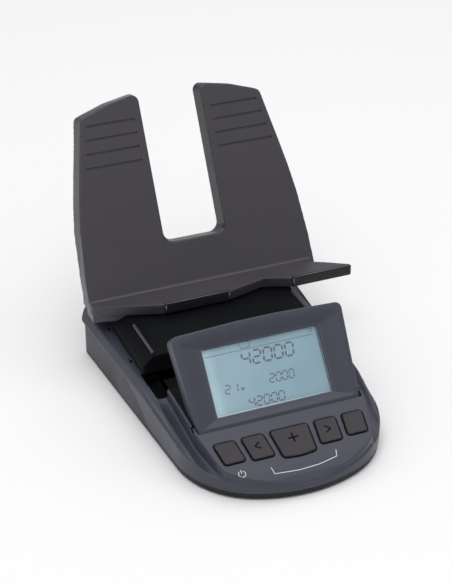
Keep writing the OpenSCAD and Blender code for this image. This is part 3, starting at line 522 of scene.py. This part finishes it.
def channel(side, grow):
    """The concave trough beside the console, as a rod that cuts it."""
    radius = 8.0
    rear, front = Vector((side * 53.0, -72, 24.6)), Vector((side * 47.0, -135, 9.8))
    run = front - rear
    tilt = run.to_track_quat("Z", "Y").to_matrix().to_4x4()
    return rod(radius + grow, run.length + 22, at(rear.x, rear.y, rear.z + radius) @ tilt, 72)


def shoulder(side, inset):
    """What is taken off above the parting line, along the side."""
    drop = SHELF_Z - SEAM_REAR - 0.5
    lean = math.degrees(math.atan(2.5 / drop))
    piece = block((0, -200, 0), (20, 200, 40))
    piece.data.transform(at(side_w(0, inset), 0, SEAM_REAR + 0.5) @ turned(-TAPER_ANGLE, "Z")
                         @ turned(-lean, "Y"))
    if side < 0:
        piece.data.transform(Matrix.Scale(-1, 4, (1, 0, 0)))
        piece.data.flip_normals()
    return piece


def upper_solid(inset):
    """The whole form of the upper housing without its hollow, less an inset."""
    body = prism(housing_plan(inset, HUMP_Y), -1, 60)
    combine(body, across(upper_side(inset)), "INTERSECT")
    bank = prism(housing_plan(inset + 1.2, HUMP_Y), -1, 60)
    combine(bank, across(bank_side(inset)), "INTERSECT")
    combine(body, bank, "UNION")
    for side in (-1, 1):
        combine(body, channel(side, inset), "DIFFERENCE")
        combine(body, shoulder(side, inset), "DIFFERENCE")
    console = prism(console_plan(inset), -1, 60)
    combine(console, prism(housing_plan(inset + 1, HUMP_Y), -2, 61), "INTERSECT")
    combine(console, across(console_side(inset)), "INTERSECT")
    combine(body, console, "UNION")
    return body


KEY_ROW, KEY_GAP, KEY_OUT, PANEL_T = 8.3, 0.65, 0.6, 2.0
OUTER_KEY = (31.2, 42.5, 29.3, 40.5, 13.2, 0.0)
INNER_KEY = (15.0, 26.8, 13.4, 25.2, 14.3, 0.0)
MIDDLE_KEY = (-10.6, 10.6, -9.2, 9.2, 16.7, 1.2)
KEYS = {"key_power": (OUTER_KEY, -1), "key_back": (INNER_KEY, -1), "key_plus": (MIDDLE_KEY, 1),
        "key_next": (INNER_KEY, 1), "key_mode": (OUTER_KEY, 1)}


def key_outline(key, side, grow):
    """A key on the panel: rear corners, front corners, and a front edge that may be bowed."""
    rear_left, rear_right, front_left, front_right, length, bow = key
    rear, front = -KEY_ROW + grow, -KEY_ROW - length - grow
    steps = 8 if bow else 1
    bowed = [(front_right + grow + (front_left - front_right - 2 * grow) * i / steps,
              front - bow * 4 * i * (steps - i) / steps ** 2) for i in range(1, steps)]
    points = [(rear_left - grow, rear), (rear_right + grow, rear), (front_right + grow, front),
              *bowed, (front_left - grow, front)]
    radius = max(1.4 + grow, 0.3)
    outline = rounded(points, [radius, radius, radius, *[0] * len(bowed), radius])
    return outline if side > 0 else [(-x, y) for x, y in reversed(outline)]


def upper_housing():
    """The moulded top: sloping rim, channels, console, shelf and hump, hollow below."""
    shell = upper_solid(0)
    combine(shell, upper_solid(WALL), "DIFFERENCE")
    for x, y, split in SCREW_PLACES:
        combine(shell, rod(3.2, SHELF_Z - split - 8 if y < 0 else 12, at(x, y, split)), "UNION")
        combine(shell, rod(1.4, 9, at(x, y, split - 1)), "DIFFERENCE")
    well_front = PANEL_Y + 0.9
    combine(shell, prism(mirrored([(well_w(well_front), well_front), (well_w(-48), -48)]), 0, 60),
            "DIFFERENCE")
    combine(shell, block((-52.7, -49, 0), (52.7, HUMP_FRONT, 60)), "DIFFERENCE")
    combine(shell, prism(rounded([(-40, -46.5), (-56, -46.5), (-56, -72.8), (-40, -72.8)],
                                 [0, 1.5, 1.5, 0]), 0, 60), "DIFFERENCE")
    for key, side in KEYS.values():
        hole = prism(key_outline(key, side, KEY_GAP), -PANEL_T - 2, 20, PANEL)
        combine(shell, hole, "DIFFERENCE")
    for side in (-1, 1):
        pin_hole = rod(1.9, 12, at(side * 39.0, HINGE.y, HINGE.z) @ turned(side * 90, "Y"))
        combine(shell, pin_hole, "DIFFERENCE")
        for y in SLOT_PLACES:
            x = side * SLOT_X
            combine(shell, block((x - 0.7, y - 2.2, 15), (x + 0.7, y + 2.2, 40)), "DIFFERENCE")
    below = [(-200, -5), (-200, SEAM_FRONT), (-72, SEAM_FRONT), (-59, 10.5), (-46, 16.5),
             (-34, SEAM_REAR), (200, SEAM_REAR), (200, -5)]
    combine(shell, across(below), "DIFFERENCE")
    soften(shell, SOFT_CELL, SOFT_PASSES)
    combine(shell, parting_line(), "DIFFERENCE")
    return finished(shell, "upper_housing_moulding", "base", "housing", ["upper_housing"])


def parting_line():
    """The thin groove over the lower housing, along the low front part of the seam."""
    line = prism(housing_plan(-1, HUMP_Y + 1), SEAM_FRONT - 0.5, SEAM_FRONT + 0.55)
    combine(line, prism(housing_plan(0.7, HUMP_Y), 0, 20), "DIFFERENCE")
    combine(line, block((-90, -200, 0), (90, -72, 20)), "INTERSECT")
    return line


SCREW_PLACES = [(side * side_w(y, inset), y, split) for y, inset, split in
                ((17, WALL + 4.2, 12), (-96, WALL + 3.6, 7.2)) for side in (1, -1)]


# ---- keys ----

def key_cap(name, key, side):
    """A keycap with a flange below the panel, a rounded rim and a slightly dished top."""
    flange = -PANEL_T - 1
    rings = [(flange, 1.15), (-PANEL_T, 1.15), (-PANEL_T, 0), (KEY_OUT - 0.55, 0)]
    for turn in (22, 45, 67, 90):
        a = math.radians(turn)
        rings.append((KEY_OUT - 0.5 + 0.5 * math.sin(a), -0.5 * (1 - math.cos(a))))
    rings += [(KEY_OUT, -0.7), (KEY_OUT - 0.05, -1.05)]
    mesh = loft([[(x, y, z) for x, y in key_outline(key, side, grow)] for z, grow in rings])
    piece = solid(mesh, PANEL)
    return finished(piece, name + "_cap", name, "key", [name], crease=40)


# ---- display ----

LEAN = 38.9
FRAME_GAP, FRAME_LOW_Z, FRAME_T, FRAME_R = 1.3, 22.4, 10.0, 3.5
DISPLAY = at(0, PANEL_Y + FRAME_GAP, FRAME_LOW_Z) @ turned(-LEAN, "X")
HINGE = DISPLAY @ Vector((0, 3.2, 4.0))
LCD_LOW, LCD_TOP, FUNNEL_D, STACK_D = 7.0, 44.0, 2.4, 3.6


def frame_ring(low_w, top_w, low, high, crown, low_r, top_r, depth):
    """One closed line of the frame, seen from the front, at a depth behind its face."""
    points = [(-low_w, low), (low_w, low), (top_w, high), (12, high + crown), (-12, high + crown),
              (-top_w, high)]
    outline = rounded(points, [low_r, low_r, top_r, 0, 0, top_r], 8)
    return [(x, depth, z) for x, z in outline]


def frame_edge(inset, depth):
    """The outer line of the display frame, less an inset, at a depth."""
    return frame_ring(FRAME_LOW_W - inset, FRAME_TOP_W - inset, inset, FRAME_H - 1.5 - inset, 1.5,
                      max(1.6 - inset, 0.4), max(FRAME_R - inset, 0.8), depth)


def display_frame():
    """The frame: rounded outside, a flat rim, a hollow slanted border down to the glass."""
    highlight = 0.9
    rings = [frame_edge(0.8, FRAME_T), frame_edge(0.25, FRAME_T - 0.25),
             frame_edge(0, FRAME_T - 0.8), frame_edge(0, highlight)]
    for turn in (22, 45, 67, 90):
        a = math.radians(turn)
        rings.append(frame_edge(highlight * (1 - math.cos(a)), highlight * (1 - math.sin(a))))
    rim = (FRAME_LOW_W - 2.6, FRAME_TOP_W - 3.6, 2.6, FRAME_H - 5.6, 1.3)
    glass = (LCD_W, LCD_W, LCD_LOW, LCD_TOP, 0.0)
    for t in (0.0, 0.05, 0.12, 0.25, 0.4, 0.6, 0.8, 1.0):
        sizes = [a + (b - a) * t for a, b in zip(rim, glass)]
        depth = FUNNEL_D * (1 - (1 - t) ** 1.35)
        rings.append(frame_ring(*sizes, 1.2 * (1 - t) + 0.3, 3.0 * (1 - t) + 0.3, depth))
    rings.append(frame_ring(*glass, 0.3, 0.3, STACK_D))
    rings.append(frame_edge(1.8, STACK_D))
    rings.append(frame_edge(1.8, FRAME_T))
    piece = solid(loft(rings, closed=True), DISPLAY)
    return finished(piece, "display_frame_moulding", "display", "housing", ["display_frame"],
                    crease=32)


SEGMENTS = {"0": "abcdef", "1": "bc", "2": "abged", "4": "fgbc"}


def digit_bars(letter, width, height):
    """The lit bars of one seven-segment figure, as lines from its lower left corner."""
    half = height / 2
    lines = {"a": ((0, height), (width, height)), "b": ((width, height), (width, half)),
             "c": ((width, half), (width, 0)), "d": ((0, 0), (width, 0)), "e": ((0, half), (0, 0)),
             "f": ((0, height), (0, half)), "g": ((0, half), (width, half))}
    if letter == "x":
        return [((0, 0), (width, half)), ((0, half), (width, 0))]
    return [lines[s] for s in SEGMENTS[letter]]


def bar_mesh(bars, thick, depth, gap):
    """Flat pointed bars on the glass, in the display's own frame."""
    mesh = bpy.data.meshes.new("bars")
    bm = bmesh.new()
    for start, end in bars:
        start, end = Vector(start), Vector(end)
        along = (end - start).normalized()
        wide = Vector((-along.y, along.x)) * thick / 2
        start, end = start + along * gap, end - along * gap
        tip = along * thick / 2
        outline = [start, start + tip - wide, end - tip - wide,
                   end, end - tip + wide, start + tip + wide]
        front = [bm.verts.new((p.x, depth - 0.06, p.y)) for p in outline]
        back = [bm.verts.new((p.x, depth - 0.01, p.y)) for p in outline]
        bm.faces.new(front)
        bm.faces.new(list(reversed(back)))
        for i in range(6):
            j = (i + 1) % 6
            bm.faces.new((front[i], back[i], back[j], front[j]))
    bmesh.ops.recalc_face_normals(bm, faces=bm.faces)
    bm.to_mesh(mesh)
    bm.free()
    return mesh


def figures(name, text, left, low, width, height, pitch, thick, slant=0.12):
    """A row of figures on the display panel."""
    bars = []
    for i, letter in enumerate(text):
        for line in digit_bars(letter, width, height):
            bars.append([(left + i * pitch + x + slant * y, low + y) for x, y in line])
    piece = solid(bar_mesh(bars, thick, STACK_D + 1.0, thick * 0.35), DISPLAY)
    return finished(piece, name, "display", "lcd_ink")


def display_figures():
    """Plain figures and rules, as a counting display shows them."""
    figures("display_total", "42000", -12.4, 31.0, 4.6, 7.0, 6.3, 1.05)
    figures("display_count", "21", -25.4, 18.4, 2.8, 4.4, 4.3, 0.62)
    figures("display_times", "x", -16.6, 18.4, 2.2, 3.8, 3.0, 0.5)
    figures("display_value", "2000", 0.4, 19.1, 2.7, 4.6, 3.8, 0.62)
    figures("display_sum", "42000", -14.0, 8.8, 3.1, 4.8, 4.3, 0.68)
    rules = [((-31.8, 39.6), (31.0, 39.6))]
    box = [((-11.6, 43.4), (-11.2, 40.4)), ((-11.2, 40.4), (-6.2, 40.4)),
           ((-6.2, 40.4), (-5.4, 43.4)), ((-5.4, 43.4), (-8, 43.4)),
           ((29, 41.3), (30.8, 41.3)), ((30.8, 41.3), (30.8, 42.9)),
           ((30.8, 42.9), (29, 42.9)), ((29, 42.9), (29, 41.3))]
    piece = solid(bar_mesh(rules + box, 0.3, STACK_D + 1.0, 0.0), DISPLAY)
    finished(piece, "display_rules", "display", "lcd_ink")
    lit = [((-LCD_W + 0.4, LCD_LOW + 0.5), (-LCD_W + 0.4, LCD_TOP - 0.6)),
           ((-LCD_W + 0.4, LCD_LOW + 0.5), (LCD_W - 0.6, LCD_LOW + 0.5))]
    piece = solid(bar_mesh(lit, 0.5, STACK_D + 1.0, 0.0), DISPLAY)
    finished(piece, "display_lit_edge", "display", "lcd_edge")
    shade = [((LCD_W - 0.45, LCD_LOW + 0.4), (LCD_W - 0.45, LCD_TOP - 0.3)),
             ((-LCD_W + 0.8, LCD_TOP - 0.1), (LCD_W - 0.4, LCD_TOP - 0.1))]
    piece = solid(bar_mesh(shade, 0.8, STACK_D + 1.0, 0.0), DISPLAY)
    finished(piece, "display_shade_edge", "display", "lcd_shade")


# ---- platform ----

PLATFORM_Z, PLATFORM_W, PLATFORM_SIDE, PLATFORM_DROP = 36.4, 49.5, 6.0, 5.9
PLATFORM_FRONT, PLATFORM_REAR, SKIRT_Z = -49.5, 12.5, 25.7


def platform_ring(inset, z):
    """The platform's outline at a height; its sides slant in above the skirt."""
    shrink = PLATFORM_SIDE * max(0, z - (PLATFORM_Z - PLATFORM_DROP)) / PLATFORM_DROP
    half = PLATFORM_W + PLATFORM_SIDE - shrink - inset
    points = [(-half, PLATFORM_FRONT + inset), (half, PLATFORM_FRONT + inset),
              (half, PLATFORM_REAR - inset), (-half, PLATFORM_REAR - inset)]
    return [(x, y, z) for x, y in rounded(points, [1.2] * 4)]


def platform():
    """The black weighing platform: a shell with slanted sides and two low ribs."""
    wall = 2.4
    rings = [platform_ring(wall, z) for z in (PLATFORM_Z - wall, SKIRT_Z)]
    rings += [platform_ring(0, z) for z in (SKIRT_Z, PLATFORM_Z - PLATFORM_DROP, PLATFORM_Z - 1.0)]
    rings += [platform_ring(0.15, PLATFORM_Z - 0.45), platform_ring(0.5, PLATFORM_Z - 0.1),
              platform_ring(1.0, PLATFORM_Z)]
    shell = solid(loft(rings))
    for x in (22, 34):
        combine(shell, rod(4, 11.7, at(x, 6.6, 23.7)), "UNION")
        combine(shell, rod(1.25, 6, at(x, 6.6, 22.7)), "DIFFERENCE")
    for side in (-1, 1):
        combine(shell, rod(5, 9, at(side * 38, -2, PLATFORM_Z - 10)), "UNION")
        combine(shell, rod(3.08, 12, at(side * 38, -2, PLATFORM_Z - 9.5)), "DIFFERENCE")
    # The ribs get the paler rib plastic: a painted highlight.
    ribs = rib(-1)
    attach(ribs, rib(1))
    finished(ribs, "platform_ribs", "base", "rib", crease=40)
    return finished(shell, "platform_moulding", "base", "black_plastic", ["platform"], crease=30)


def rib(side):
    """One low rib with a rounded top."""
    x, rings = side * 48.5, []
    for z, half in ((PLATFORM_Z - 0.8, 0.75), (PLATFORM_Z + 0.45, 0.75), (PLATFORM_Z + 0.75, 0.6),
                    (PLATFORM_Z + 0.88, 0.3)):
        outline = rounded([(x - half, -47.4), (x + half, -47.4), (x + half, -16), (x - half, -16)],
                          [half * 0.9] * 4)
        rings.append([(px, py, z) for px, py in outline])
    return solid(loft(rings))


# ---- banknote tray ----

TRAY_X, LEDGE_Z, LEDGE_SKIRT, TRAY_T, TRAY_LEAN, BACK_Y = 2.0, 43.5, 6.1, 2.5, 28.3, 4.5
FLANGE_D, FLANGE_FLARE, LEDGE_REAR = 10.0, 1.5, 15.5
BACK = at(TRAY_X, BACK_Y, LEDGE_Z) @ turned(-TRAY_LEAN, "X")
BACK_SIDES = [(70, -6), (69.3, 12), (66.8, 40), (64.3, 56), (60.9, 73), (57.3, 90), (54.7, 102.5)]
GAP_W, GAP_LOW, INNER_TOP = 18.9, 25.0, 112.0
BAR_ENDS = ((-28.6, 11.0), (50.2, 87.6))
GROOVE_HEIGHTS, GROOVE_W = (97.8, 90, 82.1, 74.2), 1.3


def back_outline(inset):
    """The two-winged back, seen square to its face."""
    sides = [(min(w - inset, BACK_SIDES[0][0] - 0.2), h + (inset if i == 0 else 0))
             for i, (w, h) in enumerate(BACK_SIDES[:-1])]
    width, height = BACK_SIDES[-1]
    points = sides + [(width - inset, height - inset), (38, (height + INNER_TOP) / 2 - inset + 1),
                      (GAP_W + inset, INNER_TOP - inset), (GAP_W + inset, GAP_LOW - inset)]
    radii = [1, 0, 0, 0, 0, 0, 4, 0, 4, 6]
    return rounded(mirrored(points), radii + radii[::-1])


def upright(layers):
    """Outlines on the tray's back at several depths, as a body that goes back from its face."""
    return solid(loft([[(x, depth, z) for x, z in outline] for depth, outline in layers]), BACK)


def side_at(height):
    """Half the width of the back at a height along it."""
    for (w0, h0), (w1, h1) in zip(BACK_SIDES, BACK_SIDES[1:]):
        if height <= h1:
            return w0 + (w1 - w0) * (height - h0) / (h1 - h0)


def ledge_bar(left, right):
    """A bar along the ledge's front edge, with crisp rounded edges."""
    low, front, rear = LEDGE_Z - LEDGE_SKIRT + 0.2, -13.9, -12.4
    rings = []
    for z, inset in ((low, 0.5), (low + 0.5, 0), (LEDGE_Z + 0.1, 0), (LEDGE_Z + 0.42, 0.15),
                     (LEDGE_Z + 0.55, 0.5)):
        outline = rounded([(left + inset, front + inset), (right - inset, front + inset),
                           (right - inset, rear), (left + inset, rear)], [0.7, 0.7, 0.5, 0.5])
        rings.append([(x, y, z) for x, y in outline])
    return solid(loft(rings))


def ledge_drop():
    """The lower front wall at the ledge's left end, with a slanted lower edge."""
    low = LEDGE_Z - LEDGE_SKIRT
    wall = prism([(-67.3, -0.3), (-49.8, -5.8), (-29.5, -12.8), (-28.8, -10.6), (-48.8, -3.2),
                  (-60, 0.7), (-67, 0.7)], 30, low + 0.5)
    highlight = [(-68, 32.6), (-54.5, 33.5), (-51.5, 35), (-49.5, 36.9), (-38, 36.9), (-29.3, low),
            (-29.3, low + 1), (-68, low + 1)]
    combine(wall, prism(highlight, -10, 30, turned(90, "X")), "INTERSECT")
    return wall


def tray():
    """The banknote tray: ledge with two raised bars, cheeks, pegs and a back with two wings."""
    low = LEDGE_Z - LEDGE_SKIRT
    front = [(-67.5, -0.5), (-49.8, -6), (-29.3, -13.1), (11, -13.1), (34.3, -7), (49.8, -13.1),
             (88, -13.1), (88, -11), (75.5, -3.4), (68.5, 0)]
    outline = rounded(front + [(72, LEDGE_REAR), (-68, LEDGE_REAR)],
                      [4, 3, 0.8, 0.8, 1.5, 0.8, 1.2, 1.5, 3, 1, 1, 1])
    inner = [(-64, 1.5), (-48.8, -3.2), (-28.6, -10.6), (10.4, -10.6), (34.3, -4.2), (50.4, -10.6),
             (82, -10.6), (74, -5.5), (66, -0.6), (69.5, LEDGE_REAR - TRAY_T),
             (-65.5, LEDGE_REAR - TRAY_T)]
    body = prism(outline, low, LEDGE_Z)
    combine(body, prism(inner, low - 1, LEDGE_Z - TRAY_T), "DIFFERENCE")
    combine(body, ledge_drop(), "UNION")
    for side in (-1, 1):
        near, outer = 57.3, 67.0
        cheek = [(side * near, 0), (side * outer, 0), (side * outer, 11), (side * near, 11)]
        combine(body, prism(cheek, 32.6, LEDGE_Z - 1), "UNION")
        combine(body, rod(3, 13.2, at(side * 38, -2, 29.2)), "UNION")
        combine(body, rod(5.5, 6.1, at(side * 38, -2, PLATFORM_Z)), "UNION")
    back = upright([(0, back_outline(0)), (FLANGE_D, back_outline(-FLANGE_FLARE))])
    hollow = upright([(TRAY_T, back_outline(TRAY_T)),
                      (FLANGE_D + 1, back_outline(TRAY_T - FLANGE_FLARE))])
    combine(back, hollow, "DIFFERENCE")
    combine(back, block((-150, -150, low), (150, 150, 300)), "INTERSECT")
    combine(body, back, "UNION")
    soften(body, SOFT_CELL, SOFT_PASSES)
    for height in GROOVE_HEIGHTS:
        near, reach = GAP_W + 4.1, side_at(height) - 3.6
        low_edge, high_edge = height - GROOVE_W / 2, height + GROOVE_W / 2
        for side in (-1, 1):
            groove = rounded([(side * near, low_edge), (side * reach, low_edge),
                              (side * reach, high_edge), (side * near, high_edge)], [0.6] * 4)
            combine(body, upright([(-1, groove), (0.9, groove)]), "DIFFERENCE")
    ledge_bars(body)
    return finished(body, "tray_moulding", "tray", "tray", ["tray"], crease=38)


def ledge_bars(body):
    """The two raised bars, darker as painted shade, a dark line behind each, and painted highlights
    on their edges.
    """
    top = LEDGE_Z + 0.57
    for side, (left, right) in zip(("left", "right"), BAR_ENDS):
        line = block((left, -12.6, LEDGE_Z - 1.2), (right, -11.5, LEDGE_Z + 2))
        combine(body, line, "DIFFERENCE")
        # Each bar takes the darker bar plastic: painted shade.
        finished(ledge_bar(left, right), f"ledge_bar_{side}", "tray", "tray_bar", crease=38)
        # Pale strips along each bar's top and down its two ends: painted highlights.
        highlight = block((left + 0.6, -13.6, top - 0.3), (right - 0.6, -13.0, top))
        for x in (left + 0.2, right - 0.9):
            attach(highlight, block((x, -13.97, top - 4.8), (x + 0.7, -13.4, top - 0.9)))
        finished(highlight, f"ledge_bar_{side}_edge", "tray", "bar_edge")


# ---- printed marks ----

def printed(name, lines, width, carrier, body, slot, place):
    """Thin strips of print that lie on a piece, under lines drawn from above it."""
    mesh = bpy.data.meshes.new(name)
    bm = bmesh.new()
    for line in lines:
        points = [Vector((*p, 0)) for p in line]
        fine = []
        for a, b in zip(points, points[1:]):
            count = max(1, round((b - a).length / 0.6))
            fine += [a.lerp(b, i / count) for i in range(count)]
        fine.append(points[-1])
        strips = []
        for i, p in enumerate(fine):
            along = (fine[min(i + 1, len(fine) - 1)] - fine[max(i - 1, 0)]).normalized()
            wide = Vector((-along.y, along.x, 0)) * width / 2
            strips.append([bm.verts.new(landed(p + s * wide, carrier, place)) for s in (-1, 1)])
        for (a, b), (c, d) in zip(strips, strips[1:]):
            bm.faces.new((a, b, d, c))
    bmesh.ops.recalc_face_normals(bm, faces=bm.faces)
    bm.to_mesh(mesh)
    bm.free()
    piece = bpy.data.objects.new(name, mesh)
    bpy.context.scene.collection.objects.link(piece)
    thick = piece.modifiers.new("thick", "SOLIDIFY")
    thick.thickness = 0.00002
    bake(piece)
    piece.data.materials.append(MATERIALS[slot])
    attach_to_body(piece, body)
    return piece


def landed(point, carrier, place):
    """The place on a finished carrier under a point given in a plane over it."""
    scene_from_mm = Matrix.Scale(MM, 4) @ at(0, LINE, 0) @ place
    start = scene_from_mm @ (point + Vector((0, 0, 6)))
    down = (scene_from_mm @ (point - Vector((0, 0, 6))) - start).normalized()
    hit, where = carrier.ray_cast(start, down)[:2]
    return where - down * 0.00003 if hit else start


def marks(housing, caps):
    """The power sign and the bracket on the panel, and the plain signs on three keys."""
    ring = [(math.cos(math.radians(a)) * 1.9, math.sin(math.radians(a)) * 1.9)
            for a in range(120, 421, 15)]
    centre = (-34.3, -28.9)
    power = [[(centre[0] + x, centre[1] + y) for x, y in ring],
             [(centre[0], centre[1] + 0.3), (centre[0], centre[1] + 2.5)]]
    bracket = [[(-18.3, -29.3), (-17.7, -33.3), (-4.2, -34.5), (7.4, -34), (18, -32.1),
                (19.1, -28.2)]]
    bpy.context.view_layer.update()
    printed("panel_print", power + bracket, 0.42, housing, "base", "print_white", PANEL)
    left = [[(-18.7, -12.9), (-21.7, -15.0), (-18.7, -16.9)]]
    right = [[(18.7, -12.9), (21.7, -15.0), (18.7, -16.9)]]
    plus = [[(-3.0, -15.0), (3.0, -15.0)], [(0, -12.0), (0, -18.0)]]
    printed("back_sign", left, 0.9, caps["key_back"], "key_back", "print_black", PANEL)
    printed("next_sign", right, 0.9, caps["key_next"], "key_next", "print_black", PANEL)
    printed("plus_sign", plus, 1.0, caps["key_plus"], "key_plus", "print_black", PANEL)


# ---- floor, light, camera ----

def floor_and_light():
    """A pale floor, a bright dome above a darker horizon, two broad lamps and a small one."""
    bpy.ops.mesh.primitive_plane_add(size=12, location=(0, 0, -0.0002))
    floor = bpy.context.object
    floor.name = "floor"
    material, tree, shader = new_material("pale_floor")
    shader.inputs["Base Color"].default_value = (0.93, 0.93, 0.94, 1)
    shader.inputs["Roughness"].default_value = 0.9
    shader.inputs["Specular IOR Level"].default_value = 0.1
    floor.data.materials.append(material)
    scene = bpy.context.scene
    world = bpy.data.worlds.new("studio")
    scene.world = world
    world.use_nodes = True
    tree = world.node_tree
    background = tree.nodes["Background"]
    link = tree.links.new
    coords = add(tree, "ShaderNodeTexCoord")
    split = add(tree, "ShaderNodeSeparateXYZ")
    link(coords.outputs["Generated"], split.inputs["Vector"])
    dome = add(tree, "ShaderNodeMapRange", [("From Min", 0.05), ("From Max", 0.5),
                                            ("To Min", 0.15), ("To Max", 0.8)])
    link(split.outputs["Z"], dome.inputs["Value"])
    path = add(tree, "ShaderNodeLightPath")
    level = add(tree, "ShaderNodeMix", [("B", 1.0)], data_type="FLOAT")
    link(path.outputs["Is Camera Ray"], level.inputs["Factor"])
    link(dome.outputs["Result"], level.inputs["A"])
    link(level.outputs["Result"], background.inputs["Strength"])
    background.inputs["Color"].default_value = (1, 1, 1, 1)
    for name, place, aim, size, power in (
            ("key_lamp", (-0.3, -0.45, 1.4), (0, 0, 0.05), 0.9, 3.8),
            ("top_lamp", (0.35, 0.25, 1.5), (0, 0, 0.05), 1.2, 4.2),
            ("spark_lamp", (-0.36, -0.19, 1.2), (0, 0, 0.05), 0.2, 0.8)):
        lamp = bpy.data.lights.new(name, "AREA")
        lamp.size = size
        lamp.energy = power
        holder = bpy.data.objects.new(name, lamp)
        scene.collection.objects.link(holder)
        holder.location = place
        holder.rotation_euler = (Vector(aim) - Vector(place)).to_track_quat("-Z", "Y").to_euler()


def camera():
    """The camera at the photograph's view."""
    lens = bpy.data.cameras.new("camera")
    lens.lens = 104.83
    lens.sensor_width = 36.0
    lens.clip_start = 0.01
    holder = bpy.data.objects.new("camera", lens)
    bpy.context.scene.collection.objects.link(holder)
    holder.location = (-0.3078, -0.7199, 0.5424)
    holder.rotation_euler = (math.radians(90 - 30.957), 0, math.radians(-22.356))
    bpy.context.scene.camera = holder
    bpy.context.scene.view_settings.view_transform = "Standard"


dress_nodes()
floor_and_light()
camera()
housing = upper_housing()
caps = {name: key_cap(name, key, side) for name, (key, side) in KEYS.items()}
display_frame()
display_figures()
platform()
tray()
marks(housing, caps)
